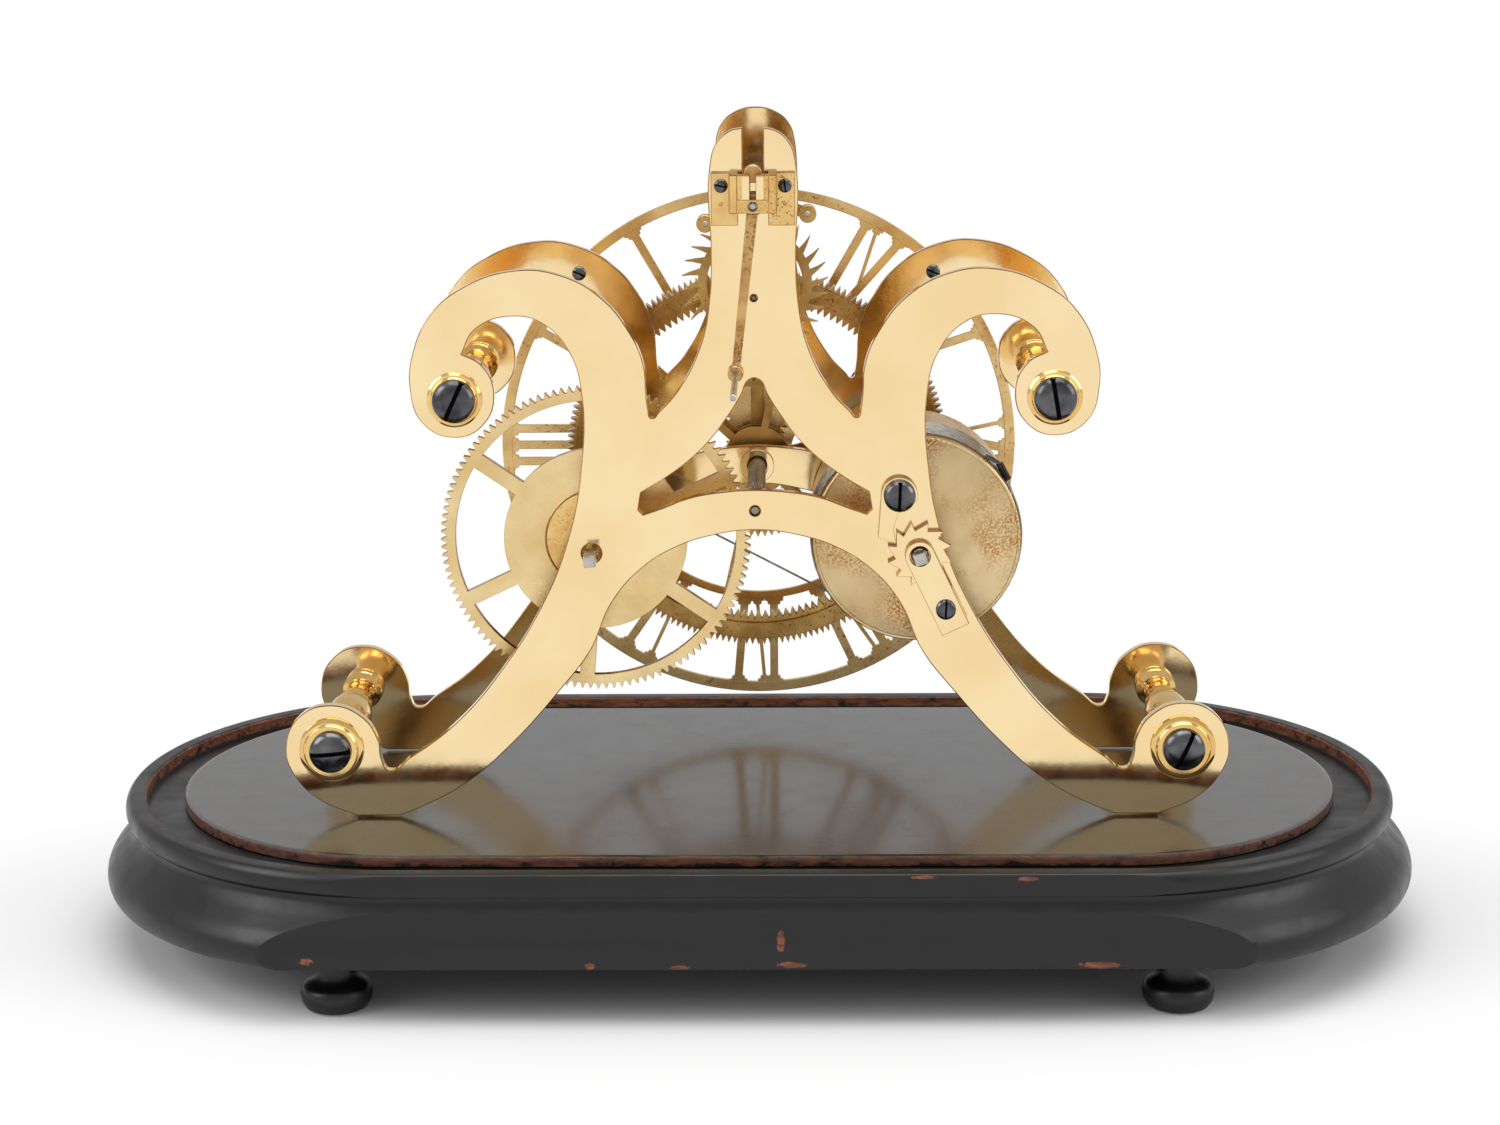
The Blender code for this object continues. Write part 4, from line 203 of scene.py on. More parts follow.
# The small cock was handled more than the plates: browner, softer, and finely specked.
COCK_BRASS = brass("aged_cock_brass", "#ECC886", "#DCB06A", 0.16, 0.28, 7, ("#8A5A2A", 0.6, 0.58))
# Burnished on the lathe, so bright rings of light run along each turned piece.
PILLAR_BRASS = brass("turned_polished_brass", "#ECCA88", "#DDB26A", 0.08, 0.15)
# A file's fine grain, left on the wheels, spreads every reflection a little.
WHEEL_BRASS = brass("filed_wheel_brass", "#F0D8A2", "#E2C186", 0.22, 0.34, grain=(1, 1, 6))
# Brass that nobody cleans goes dull, brown and specked, as on the front wheels.
TRAIN_BRASS = brass("tarnished_wheel_brass", "#CBA563", "#A67F46", 0.26, 0.42, 9, ("#6E431E", 0.7, 0.58))
# A paler cast brass, with the marks of the tool running round it.
DRUM_BRASS = brass("drum_brass", "#D9C593", "#C4AA74", 0.26, 0.38, grain=(1, 8, 1))
# The barrel's brass is pale, with orange spots where it was touched.
COVER_BRASS = brass("spotted_cover_brass", "#E6CFA0", "#D8BC8A", 0.32, 0.46, 16, ("#B4763A", 0.7, 0.44))
# The dial's back is plain sawn sheet, half dull, with larger stains.
DIAL_BRASS = brass("pierced_dial_brass", "#EBCD92", "#D2AA6C", 0.22, 0.34, 14, ("#8A5C2C", 1.2, 0.58))
# The crutch is an old strip with dark brown pits.
CRUTCH_BRASS = brass("old_brass_strip", "#D6AE74", "#B88B50", 0.28, 0.42, 5, ("#5B3519", 0.8, 0.50))
# Sawn and filed edges are duller than the faces; their darker brown colour is painted shade, with a painted
# reflection of the brass beside them.
SHADED_EDGE_BRASS = brass("filed_edge_brass", "#C2924C", "#936429", 0.16, 0.28, 4)
print("brass finishes ready")

# %% [markdown]
# ## Steel and wood
# Screws are blued: heated until a thin oxide gives a dark grey-black, and their slots are painted near
# black as painted shade. The base is softwood stained black and polished, which wears to a red brown along
# its edges; the wear follows an attribute that the base's mesh carries.

# %% Steel finishes
def steel(name, light, deep, low, high, blotch_mm=6):
    material, tree, feed = new_material(name, Metallic=1.0)
    tint = add(tree, "ShaderNodeValToRGB", [blotches(tree, blotch_mm, 4.0)],
               stops=((0.35, colour(light)), (0.70, colour(deep))))
    # A screw's mesh marks the faces of its slot, which get painted shade: near black.
    slot = add(tree, "ShaderNodeAttribute", out="Fac", attribute_name="slot")
    relief = add(tree, "ShaderNodeBump", {"Height": blotches(tree, 0.5, 2.0, (1, 6, 1)), "Strength": 1.0,
                                          "Distance": 0.01 * MM})
    feed(Base_Color=add(tree, "ShaderNodeMix", {0: slot, 6: tint, 7: colour("#0C0B0B")}, 2, data_type="RGBA"),
         Roughness=add(tree, "ShaderNodeValToRGB", [blotches(tree, 2.0, 5.0)],
                       stops=greys(0.35, 0.70, low, high)), Normal=relief)
    return material


# Blued steel is dark, but its polished domes still catch a bright spot.
BLUED_STEEL = steel("blued_screw_steel", "#707073", "#3C3C40", 0.18, 0.32)
# Pivots, pins and squares are burnished bare steel.
BRIGHT_STEEL = steel("polished_pivot_steel", "#C2BDB6", "#96908A", 0.16, 0.30)
# Long arbors carry old oil, which browns and dulls them.
DULL_STEEL = steel("oiled_arbor_steel", "#9A8F80", "#6F6459", 0.24, 0.40)
# Strands too fine to see one by one give the line a broken, greyish shine.
LINE_STEEL = steel("twisted_line_steel", "#A5A19A", "#7C776F", 0.30, 0.42, 2)
# The crimped ferrule is almost black and hardly shines.
HOOK_STEEL = steel("dark_crimped_ferrule", "#3A3A3C", "#202022", 0.35, 0.50, 2)
print("steel finishes ready")

# %% Ebonised wood
# Where the black is chipped off the front: x and z from the ground and half sizes, in millimetres.
CHIPS = ((6.6, 24.2, 1.0, 3.0), (9.4, 17.9, 3.6, 0.8), (-43.5, 17.6, 1.3, 0.8), (90.0, 17.7, 5.5, 0.8),
         (71.0, 41.4, 2.6, 0.6), (-20.0, 17.2, 2.4, 0.6), (-118.0, 19.0, 1.6, 0.9), (44.0, 42.0, 3.0, 0.5))
CUT_SIDE, CHIP_DEPTH = 88.1, 4


def ebonised(name, black, brown, low, high, worn_edge, coat, chips=()):
    """Stained wood with grain along X, and brown wear where the mesh's wear attribute is high."""
    material, tree, feed = new_material(name, IOR=1.48, Coat_Weight=coat, Coat_Roughness=0.14)
    grain = blotches(tree, 1.4, 6.0, (0.06, 1, 1), 0.6)
    base = add(tree, "ShaderNodeValToRGB", [grain],
               stops=((0.35, colour(black[0])), (0.72, colour(black[1]))))
    wear = add(tree, "ShaderNodeAttribute", out="Fac", attribute_name="wear")
    ragged = add(tree, "ShaderNodeMath", [wear, blotches(tree, 3.2, 8.0, (0.45, 1, 1), 0.7)], operation="ADD")
    worn = add(tree, "ShaderNodeMath", [ragged, worn_edge], operation="SUBTRACT")
    mask = add(tree, "ShaderNodeValToRGB", [worn], stops=greys(0.46, 0.56))
    where = add(tree, "ShaderNodeTexCoord", out="Object")
    ragged_chip = blotches(tree, 0.9, 5.0, rough=0.7)
    for x, z, wide, tall in chips:
        away = add(tree, "ShaderNodeVectorMath", [where, (x * MM, -CUT_SIDE * MM, z * MM)],
                   operation="SUBTRACT")
        scaled = add(tree, "ShaderNodeVectorMath", [away, (2 * wide * MM, CHIP_DEPTH * MM, 2 * tall * MM)],
                     operation="DIVIDE")
        share = add(tree, "ShaderNodeVectorMath", [scaled], "Value", operation="LENGTH")
        near = add(tree, "ShaderNodeMath", [share, ragged_chip], operation="LESS_THAN")
        mask = add(tree, "ShaderNodeMix", {0: 1.0, 6: mask, 7: near}, 2, data_type="RGBA",
                   blend_type="LIGHTEN")
    bare = add(tree, "ShaderNodeValToRGB", [blotches(tree, 0.9, 5.0, (0.2, 1, 1))],
               stops=((0.3, colour(brown[0])), (0.7, colour(brown[1]))))
    polish = add(tree, "ShaderNodeValToRGB", [blotches(tree, 9, 6.0)], stops=greys(0.35, 0.70, low, high))
    feed(Base_Color=add(tree, "ShaderNodeMix", {0: mask, 6: base, 7: bare}, 2, data_type="RGBA"),
         Roughness=add(tree, "ShaderNodeMix", {0: mask, 6: polish, 7: grey(0.75)}, 2, data_type="RGBA"),
         Normal=add(tree, "ShaderNodeBump", {"Height": grain, "Strength": 1.0, "Distance": 0.035 * MM}))
    return material


# Black stain under a worn polish: deep black, satin, brown at every edge that was knocked.
PLINTH_WOOD = ebonised("ebonised_moulding_wood", ("#060506", "#0D0B0C"), ("#4C2C1F", "#94583C"),
                       0.30, 0.46, 0.42, 0.0, CHIPS)
# The platform was under the dome, so its varnish is whole and mirrors the brass.
BOARD_WOOD = ebonised("stained_platform_wood", ("#17120F", "#2A211D"), ("#3E2218", "#6E402B"),
                      0.17, 0.30, 0.62, 0.7)
print("wood finishes ready")

# %% [markdown]
# ## Shape helpers
# Three kinds of shape make almost the whole clock: flat pieces sawn from sheet, turned pieces from a
# lathe, and wire. Flat pieces are 2D curves with a tiny bevel, because real edges are broken with a
# file and that thin bright line is what makes them look like metal.

# %% Objects and meshes
def new_object(name, data):
    obj = bpy.data.objects.new(name, data)
    COLLECTION.objects.link(obj)
    return obj


def baked(obj, *used):
    """The evaluated mesh of an object; the object goes, and so does what it used."""
    bpy.context.view_layer.update()
    mesh = bpy.data.meshes.new_from_object(obj.evaluated_get(bpy.context.evaluated_depsgraph_get()))
    for spent in (obj, *used):
        bpy.data.objects.remove(spent, do_unlink=True)
    return mesh


def to_mesh(work, mesh=None):
    mesh = mesh or bpy.data.meshes.new("part")
    work.to_mesh(mesh)
    work.free()
    return mesh


def welded(mesh):
    work = bmesh.new()
    work.from_mesh(mesh)
    bmesh.ops.remove_doubles(work, verts=work.verts, dist=0.000002)
    return to_mesh(work, mesh)


def smooth(obj, degrees=32):
    obj.data.shade_smooth()
    obj.data.set_sharp_from_angle(angle=radians(degrees))
    return obj


def paint(obj, material):
    obj.data.materials.clear()
    obj.data.materials.append(material)
    return obj


def part(mesh, material, degrees=32, about=CENTRE, weld=False):
    """A mesh in millimetres about the centre arbor, or another origin, made an object in the frame."""
    mesh.transform(Matrix.Translation(about) @ Matrix.Scale(MM, 4))
    obj = smooth(new_object("part", welded(mesh) if weld else mesh), degrees)
    return paint(obj, material) if material else obj


def edged(obj, flattest=0.0):
    """A sheet piece keeps its material on its faces; edges or broken corners get the darker edge brass, which
    is painted shade.
    """
    obj.data.materials.append(SHADED_EDGE_BRASS)
    for face in obj.data.polygons:
        face.material_index = int(flattest <= abs(face.normal.y) < 0.93)
    return obj


def joined(parts):
    """One object from several, each with its own material kept."""
    work = bmesh.new()
    materials = []
    for obj in parts:
        first, start = len(materials), len(work.faces)
        materials += list(obj.data.materials)
        work.from_mesh(obj.data)
        work.faces.ensure_lookup_table()
        for face in work.faces[start:]:
            face.material_index += first
        bpy.data.objects.remove(obj, do_unlink=True)
    mesh = to_mesh(work)
    for material in materials:
        mesh.materials.append(material)
    return new_object("part", mesh)


def place(name, parts, body, slot, *nodes):
    """Name the finished piece, hand it to its body and hide the CAD nodes it stands for; the slot is not
    used.
    """
    obj = joined(parts) if isinstance(parts, list) else parts
    obj.name = obj.data.name = name
    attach(obj, body)
    if nodes:
        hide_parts(*nodes)
    print(f"{obj.name}: {len(obj.data.polygons)} faces on {body}")


print("object helpers ready")

# %% Shapes from sheet, lathe and wire
def new_curve(dimensions, radius, **settings):
    curve = bpy.data.curves.new("part", "CURVE")
    curve.dimensions, curve.bevel_depth = dimensions, radius
    for name, value in settings.items():
        setattr(curve, name, value)
    return curve


def add_line(curve, points, closed=False):
    spline = curve.splines.new("POLY")
    spline.points.add(len(points) - 1)
    spline.use_cyclic_u = closed
    for point, where in zip(spline.points, points):
        point.co = (*where, 1)


def from_curve(material, curve, degrees, stand=Matrix()):
    mesh = baked(new_object("part", curve))
    mesh.transform(stand)
    return part(mesh, material, degrees, weld=True)


def flat(material, outlines, start, thickness, at=(0, 0), edge=0.15, smooth_rows=()):
    """Outlines in X and Z, the rim first; smooth_rows are Bezier outlines, a third value a corner."""
    curve = new_curve("2D", edge, fill_mode="BOTH", extrude=thickness / 2 - edge, bevel_resolution=1,
                      offset=-edge)
    for rows in smooth_rows:
        spline = curve.splines.new("BEZIER")
        spline.bezier_points.add(len(rows) - 1)
        spline.resolution_u, spline.use_cyclic_u = 10, True
        for point, (x, z, *corner) in zip(spline.bezier_points, rows):
            point.co = (x, z, 0)
            point.handle_left_type = point.handle_right_type = "VECTOR" if corner else "AUTO"
    for outline in outlines:
        add_line(curve, [(x, z, 0) for x, z in outline], closed=True)
    middle = Matrix.Translation((at[0], start + thickness / 2, at[1]))
    return from_curve(material, curve, 15, middle @ Matrix.Rotation(pi / 2, 4, "X"))


def wire(material, points, radius):
    curve = new_curve("3D", radius, bevel_resolution=3, use_fill_caps=True)
    add_line(curve, points)
    return from_curve(material, curve, 50)


def turned(material, profile, at=(0, 0), count=56, ring=False, about=CENTRE):
    """A turned piece: rows of radius and distance along its axis, from one end to the other."""
    work = bmesh.new()
    rows = []
    for radius, along in profile:
        points = circle(radius, count=count) if radius else [(0, 0)]
        verts = [work.verts.new((x, along, z)) for x, z in points]
        rows.append(verts * (count // len(verts)))
    for first, second in list(zip(rows, rows[1:])) + ([(rows[-1], rows[0])] if ring else []):
        for k in range(count):
            corners = [first[k], first[(k + 1) % count], second[(k + 1) % count], second[k]]
            distinct = list(dict.fromkeys(corners))
            if len(distinct) > 2:
                work.faces.new(distinct)
    bmesh.ops.recalc_face_normals(work, faces=work.faces)
    mesh = to_mesh(work)
    mesh.transform(Matrix.Translation((at[0], 0, at[1])))
    return part(mesh, material, about=about)


def eased(profile, edge=0.12):
    """The same profile with its outer corners broken by a small chamfer."""
    result = [profile[0]]
    for before, here, after in zip(profile, profile[1:], profile[2:]):
        corner = Vector(here)
        a, b = Vector(before) - corner, Vector(after) - corner
        if here[0] > 0 and min(a.length, b.length) > 2.5 * edge and abs(a.angle(b) - pi) > 0.5:
            result += [tuple(corner + side.normalized() * edge) for side in (a, b)]
        else:
            result.append(here)
    return result + [profile[-1]]


def rod(material, radius, start, end, at=(0, 0), count=28, edge=0.15):
    return turned(material, [(0, start), (radius - edge, start), (radius, start + edge), (radius, end - edge),
                             (radius - edge, end), (0, end)], at, count)


def tube(material, inner, outer, start, end, at=(0, 0), count=36, edge=0.12):
    profile = eased([(inner, start), (outer, start), (outer, end), (inner, end)], edge)
    return turned(material, profile, at, count, ring=True)


def block(material, low, high, edge=0.2, turn=0.0, pivot=(0, 0), about=CENTRE):
    """A box with broken edges, turned about Y at the pivot."""
    work = bmesh.new()
    bmesh.ops.create_cube(work, size=1)
    for vert in work.verts:
        vert.co = Vector([(b - a) * c + (a + b) / 2 for a, b, c in zip(low, high, vert.co)])
    bmesh.ops.bevel(work, geom=work.edges[:], offset=edge, segments=2, profile=0.5, affect="EDGES")
    mesh = to_mesh(work)
    there = Matrix.Translation((pivot[0], 0, pivot[1]))
    mesh.transform(there @ Matrix.Rotation(-turn, 4, "Y") @ there.inverted())
    return part(mesh, material, 15, about)


print("shape helpers ready")

# %% [markdown]
# ## Geometry Nodes: one toothed wheel for the whole train
# Every wheel here follows one rule: four corners to a tooth, two on the root circle and two on the tip
# circle. A mesh circle with four points per tooth is bent into that outline by the index of each
# point, the holes are joined to it, and Fill Curve and Extrude Mesh make it a plate.

# %% Toothed wheel tree
def new_tree(name, **sockets):
    """A geometry tree with named inputs, ready for a link into its one output."""
    tree = bpy.data.node_groups.new(name, "GeometryNodeTree")
    tree.interface.new_socket(name="Geometry", in_out="INPUT", socket_type="NodeSocketGeometry")
    for socket, kind in sockets.items():
        tree.interface.new_socket(name=socket.replace("_", " "), in_out="INPUT",
                                  socket_type="NodeSocket" + kind)
    tree.interface.new_socket(name="Geometry", in_out="OUTPUT", socket_type="NodeSocketGeometry")
    return tree, tree.nodes.new("NodeGroupInput").outputs


def end_tree(tree, given, geometry):
    """Realize Instances and Set Material close every tree."""
    real = add(tree, "GeometryNodeRealizeInstances", {"Geometry": geometry})
    done = add(tree, "GeometryNodeSetMaterial", {"Geometry": real, "Material": given["Material"]})
    tree.links.new(done, tree.nodes.new("NodeGroupOutput").inputs[0])


def run_tree(tree, mesh, *used, **values):
    """Apply a tree with its named inputs set to a mesh, and give back a plain mesh."""
    obj = new_object("part", mesh)
    modifier = obj.modifiers.new("shape", "NODES")
    modifier.node_group = tree
    for item in tree.interface.items_tree:
        key = item.name.replace(" ", "_")
        if item.in_out == "INPUT" and key in values:
            modifier[item.identifier] = values[key]
    return baked(obj, *used)


WHEEL_TREE, given = new_tree("toothed_wheel", Teeth="Int", Root_Radius="Float", Tip_Radius="Float",
                             Root_Share="Float", Tip_Share="Float", Phase="Float", Thickness="Float",
                             Material="Material")
tree = WHEEL_TREE
index = add(tree, "GeometryNodeInputIndex")
corner = add(tree, "ShaderNodeMath", [index, 4.0], operation="MODULO")
corner = add(tree, "ShaderNodeMath", [corner, 1.5], operation="SUBTRACT")
side = add(tree, "ShaderNodeMath", [corner], operation="SIGN")
off_middle = add(tree, "ShaderNodeMath", [corner], operation="ABSOLUTE")
on_tip = add(tree, "ShaderNodeMath", [off_middle, 1.0], operation="LESS_THAN")
tooth = add(tree, "ShaderNodeMath", [index, 4.0], operation="DIVIDE")
tooth = add(tree, "ShaderNodeMath", [tooth], operation="FLOOR")
at_corner = []
for kind in ("Share", "Radius"):
    change = add(tree, "ShaderNodeMath", [given["Tip " + kind], given["Root " + kind]], operation="SUBTRACT")
    at_corner.append(add(tree, "ShaderNodeMath", [on_tip, change, given["Root " + kind]],
                         operation="MULTIPLY_ADD"))
share, radius = at_corner
along = add(tree, "ShaderNodeMath", [side, share, tooth], operation="MULTIPLY_ADD")
pitch = add(tree, "ShaderNodeMath", [TAU, given["Teeth"]], operation="DIVIDE")
angle = add(tree, "ShaderNodeMath", [along, pitch, given["Phase"]], operation="MULTIPLY_ADD")
x, y = [add(tree, "ShaderNodeMath", [radius, add(tree, "ShaderNodeMath", [angle], operation=wave)],
            operation="MULTIPLY") for wave in ("COSINE", "SINE")]
count = add(tree, "ShaderNodeMath", [given["Teeth"], 4.0], operation="MULTIPLY")
ring = add(tree, "GeometryNodeMeshCircle", {"Vertices": count})
toothed = add(tree, "GeometryNodeSetPosition", {"Geometry": ring,
                                                "Position": add(tree, "ShaderNodeCombineXYZ", [x, y])})
rings = add(tree, "GeometryNodeJoinGeometry", {"Geometry": [toothed, given["Geometry"]]})
curves = add(tree, "GeometryNodeMeshToCurve", {"Mesh": rings})
face = add(tree, "GeometryNodeFillCurve", {"Curve": curves})
top = add(tree, "GeometryNodeExtrudeMesh", {"Mesh": face, "Offset Scale": given["Thickness"],
                                            "Individual": False})
under = add(tree, "GeometryNodeFlipFaces", {"Mesh": face})
both = add(tree, "GeometryNodeJoinGeometry", {"Geometry": [top, under]})
end_tree(tree, given, add(tree, "GeometryNodeMergeByDistance", {"Geometry": both, "Distance": 0.001}))
print("toothed wheel tree:", len(tree.nodes), "nodes")


def windows(inner, outer, spokes, width, angle):
    """Openings between spokes, with parallel sides half a spoke off each spoke's middle."""
    def opening(k):
        start, end = angle + k * TAU / spokes, angle + (k + 1) * TAU / spokes
        far, near = asin(width / 2 / outer), asin(width / 2 / inner)
        return arc(outer, start + far, end - far, 16) + arc(inner, end - near, start + near, 16)
    return [opening(k) for k in range(spokes)]


def wheel(material, teeth, root, tip, phase, start, thickness, holes=(), at=(0, 0), edge=0.12,
          shares=(0.42, 0.05)):
    """A toothed wheel; the outline comes from the tree, and a Bevel breaks its edges."""
    points, edges = [], []
    for outline in holes:
        first, count = len(points), len(outline)
        points += [(x, z, 0) for x, z in outline]
        edges += [(first + k, first + (k + 1) % count) for k in range(count)]
    rings = bpy.data.meshes.new("holes")
    rings.from_pydata(points, edges, [])
    mesh = run_tree(WHEEL_TREE, rings, Teeth=teeth, Root_Radius=root, Tip_Radius=tip, Root_Share=shares[0],
                    Tip_Share=shares[1], Phase=phase, Thickness=thickness, Material=material)
    mesh.transform(Matrix.Translation((at[0], start + thickness, at[1])) @ Matrix.Rotation(pi / 2, 4, "X"))
    work = bmesh.new()
    work.from_mesh(mesh)
    bmesh.ops.dissolve_limit(work, angle_limit=0.01, verts=work.verts, edges=work.edges)
    rims = [e for e in work.edges if len(e.link_faces) == 2
            and max(abs(f.normal.y) for f in e.link_faces) > 0.9
            and min(abs(f.normal.y) for f in e.link_faces) < 0.1]
    bmesh.ops.bevel(work, geom=rims, offset=edge, segments=1, profile=0.5, affect="EDGES",
                    clamp_overlap=True)
    return part(to_mesh(work, mesh), None, 28)


# %% [markdown]
# ## Geometry Nodes: one piece on many points
# Screws, washers, pillars, feet and minute marks are one shape set down again and again. A second tree
# puts an object on each point of a small mesh, turned by the point's own spin attribute.

# %% Repeating tree
REPEAT_TREE, given = new_tree("set_on_points", Piece="Object", Material="Material")
tree = REPEAT_TREE
spin = add(tree, "GeometryNodeInputNamedAttribute", {"Name": "spin"}, "Attribute", data_type="FLOAT_VECTOR")
end_tree(tree, given, add(tree, "GeometryNodeInstanceOnPoints", {
    "Points": given["Geometry"], "Rotation": add(tree, "FunctionNodeEulerToRotation", {"Euler": spin}),
    "Instance": add(tree, "GeometryNodeObjectInfo", {"Object": given["Piece"]}, "Geometry")}))


def spot(x, y, z, turn=0, front=False):
    """Place and spin of a copy; one on the front faces the other way."""
    return CENTRE + Vector((x, y, z)) * MM, (0, turn, pi) if front else (0, -turn, 0)


def repeated(master, material, spots):
    """Copies of a master that was made about ORIGIN, one on each place with its spin."""
    mesh = bpy.data.meshes.new("spots")
    mesh.from_pydata([where for where, _ in spots], [], [])
    for item, (_, turned_to) in zip(mesh.attributes.new("spin", "FLOAT_VECTOR", "POINT").data, spots):
        item.vector = turned_to
    return smooth(new_object("part", run_tree(REPEAT_TREE, mesh, master, Piece=master, Material=material)))


print("repeating tree:", len(REPEAT_TREE.nodes), "nodes")

# %% [markdown]
# ## The base
# The base is a turned and moulded oval with its long sides cut flat. Its section, from the bottom, is
# a round torus, a deep hollow and a small bead; inside the rim runs the groove that a glass dome
# stands in, and then the platform. It is lofted through many level outlines, and every row says how
# worn it is.

# %% Base
STRAIGHT, RIM_LENGTH, RIM_WIDTH = 96.7, 83.7, 88.3


def oval(offset, count=72):
    """Level outline: straight sides and half-elliptic ends, offset from the rim."""
    return [(side * (STRAIGHT + (RIM_LENGTH + offset) * cos(angle)), side * (RIM_WIDTH + offset) * sin(angle))
            for side in (1, -1) for angle in [pi * (k / count - 0.5) for k in range(count + 1)]]


def eased_rows(rows, steps=4):
    """Rows along a smooth curve through the given ones."""
    padded = [rows[0]] + rows + [rows[-1]]
    result = []
    for around in zip(padded, padded[1:], padded[2:], padded[3:]):
        for t in [k / steps for k in range(steps)]:
            result.append([0.5 * (2 * q + (r - p) * t + (2 * p - 5 * q + 4 * r - s) * t * t
                                  + (3 * q - p - 3 * r + s) * t ** 3) for p, q, r, s in zip(*around)])
    return result + [rows[-1]]


def lofted(material, rows, flat_at=None):
    """A closed solid through rows of offset, height and wear, with its long sides cut flat."""
    work = bmesh.new()
    wear_layer = work.verts.layers.float.new("wear")
    rings = []
    for offset, height, wear in rows:
        rings.append([work.verts.new((x, y, height)) for x, y in oval(offset)])
        for vert in rings[-1]:
            vert[wear_layer] = wear
    count = len(rings[0])
    for low, high in zip(rings, rings[1:]):
        for k in range(count):
            work.faces.new((low[k], low[(k + 1) % count], high[(k + 1) % count], high[k]))
    work.faces.new(rings[0][::-1])
    work.faces.new(rings[-1])
    for side in (1, -1) if flat_at else ():
        cut = bmesh.ops.bisect_plane(work, geom=work.verts[:] + work.edges[:] + work.faces[:],
                                     plane_co=(0, side * flat_at, 0), plane_no=(0, side, 0),
                                     clear_outer=True)
        rim = [item for item in cut["geom_cut"] if isinstance(item, bmesh.types.BMEdge)]
        bmesh.ops.contextual_create(work, geom=rim)
    bmesh.ops.recalc_face_normals(work, faces=work.faces)
    return part(to_mesh(work), material, 28, ORIGIN)


# Offset from the rim, height above the ground, and wear, from the bottom up.
section = [(5.0, 16.6, 0.25), (6.3, 17.6, 0.12), (7.0, 20.2, 0.02), (6.6, 23.2, 0.0), (5.0, 26.2, 0.0),
           (2.6, 28.9, 0.0), (0.3, 31.5, 0.0), (-1.3, 34.2, 0.0), (-1.5, 36.0, 0.0)]
bead = [(-0.4, 36.4, 0.05), (0.6, 37.4, 0.0), (1.0, 39.2, 0.0), (0.7, 41.2, 0.02), (-0.3, 42.6, 0.16),
        (-1.2, 42.9, 0.22)]
groove = [(-4.2, 42.9, 0.30), (-4.9, 42.3, 0.55), (-5.0, 39.9, 0.45), (-5.2, 39.5, 0.08)]
place("ebonised_moulded_base", lofted(PLINTH_WOOD, eased_rows(section) + eased_rows(bead) + groove, CUT_SIDE),
      "frame", "wood_ebonised", "base_plinth")
board = [(-15.6, 39.8, 0.6), (-15.5, 41.4, 0.75), (-15.8, 42.3, 0.70), (-16.6, 42.6, 0.36),
         (-17.4, 42.6, 0.08), (-19.5, 42.6, 0.0)]
place("stained_platform", lofted(BOARD_WOOD, board), "frame", "wood_board", "base_board")

# %% Bun feet
foot = turned(None, [(0, 0), (6.4, 0), (8.3, 0.8), (9.3, 2.4), (9.7, 4.5), (9.4, 6.3), (8.6, 7.3), (7.2, 8.2),
                     (6.2, 9.2), (5.7, 10.8), (5.6, 12.6), (5.9, 14.6), (6.4, 16.2), (0, 16.2)], count=40,
              about=ORIGIN)
# A quarter turn about X stands the lathe's axis up.
spots = [((x * MM, y * MM, 0), (pi / 2, 0, 0)) for x in (-113, 113) for y in (-71.5, 71.5)]
place("turned_bun_feet", repeated(foot, PLINTH_WOOD, spots), "frame", "wood_ebonised",
      *[f"base_foot_{end}_{side}" for end in ENDS for side in SIDES])

# %% [markdown]
# ## The two plates
# Both plates are sawn from 3 mm sheet to one outline: a column, a scroll on each side and a long
# curved leg. The outline is one Bezier curve through listed points, with sharp corners only where
# the saw turned. Only the rear plate's column is slotted, for the pendulum's suspension.

# %% Plates
HALF_WIDTH, COLUMN_TOP, FOOT_DROP = 129.8, 102.4, 85.8
SHEET, FRONT = 3.0, 63.7
CLICK, BRIDGE_LEAN, BRIDGE_SCREW = (38.9, 4.6), radians(-64.4), 16.3
# One half of the outline, in shares of the half width and of the column or the leg; a 1 is a corner.
outline = (
    (0.046, 0.996), (0.074, 0.965), (0.087, 0.915), (0.087, 0.664), (0.091, 0.560), (0.111, 0.437),
    (0.164, 0.311), (0.200, 0.262), (0.208, 0.250), (0.216, 0.252), (0.219, 0.270), (0.222, 0.298),
    (0.229, 0.398), (0.259, 0.483), (0.315, 0.569), (0.396, 0.626), (0.488, 0.639), (0.601, 0.592),
    (0.664, 0.525), (0.704, 0.420), (0.711, 0.327), (0.688, 0.239), (0.624, 0.199), (0.562, 0.231),
    (0.537, 0.318), (0.562, 0.392), (0.602, 0.421, 1), (0.573, 0.485), (0.490, 0.519), (0.429, 0.495),
    (0.379, 0.420), (0.358, 0.325), (0.361, 0.112), (0.393, -0.101), (0.442, -0.285), (0.540, -0.523),
    (0.639, -0.695), (0.736, -0.806), (0.782, -0.848), (0.796, -0.815), (0.803, -0.745), (0.834, -0.671),
    (0.902, -0.631), (0.971, -0.672), (1.0, -0.779), (0.983, -0.868), (0.935, -0.945), (0.854, -1.0, 1),
    (0.762, -1.0, 1), (0.719, -0.975), (0.621, -0.895), (0.523, -0.768), (0.412, -0.580), (0.349, -0.455),
    (0.301, -0.295), (0.241, -0.189), (0.168, -0.118), (0.084, -0.077), (0.0, -0.062))
triangle = (
    (0.009, 0.351), (0.028, 0.307), (0.057, 0.249), (0.090, 0.193), (0.134, 0.138), (0.187, 0.088),
    (0.237, 0.050, 1), (0.243, 0.004, 1), (0.233, -0.011, 1), (0.198, 0.006), (0.135, 0.036),
    (0.073, 0.050), (0.0, 0.056))


def both_halves(shares):
    half = [(x * HALF_WIDTH, z * (COLUMN_TOP if z > 0 else FOOT_DROP), *corner) for x, z, *corner in shares]
    return half + [(-x, z, *corner) for x, z, *corner in reversed(half) if x]


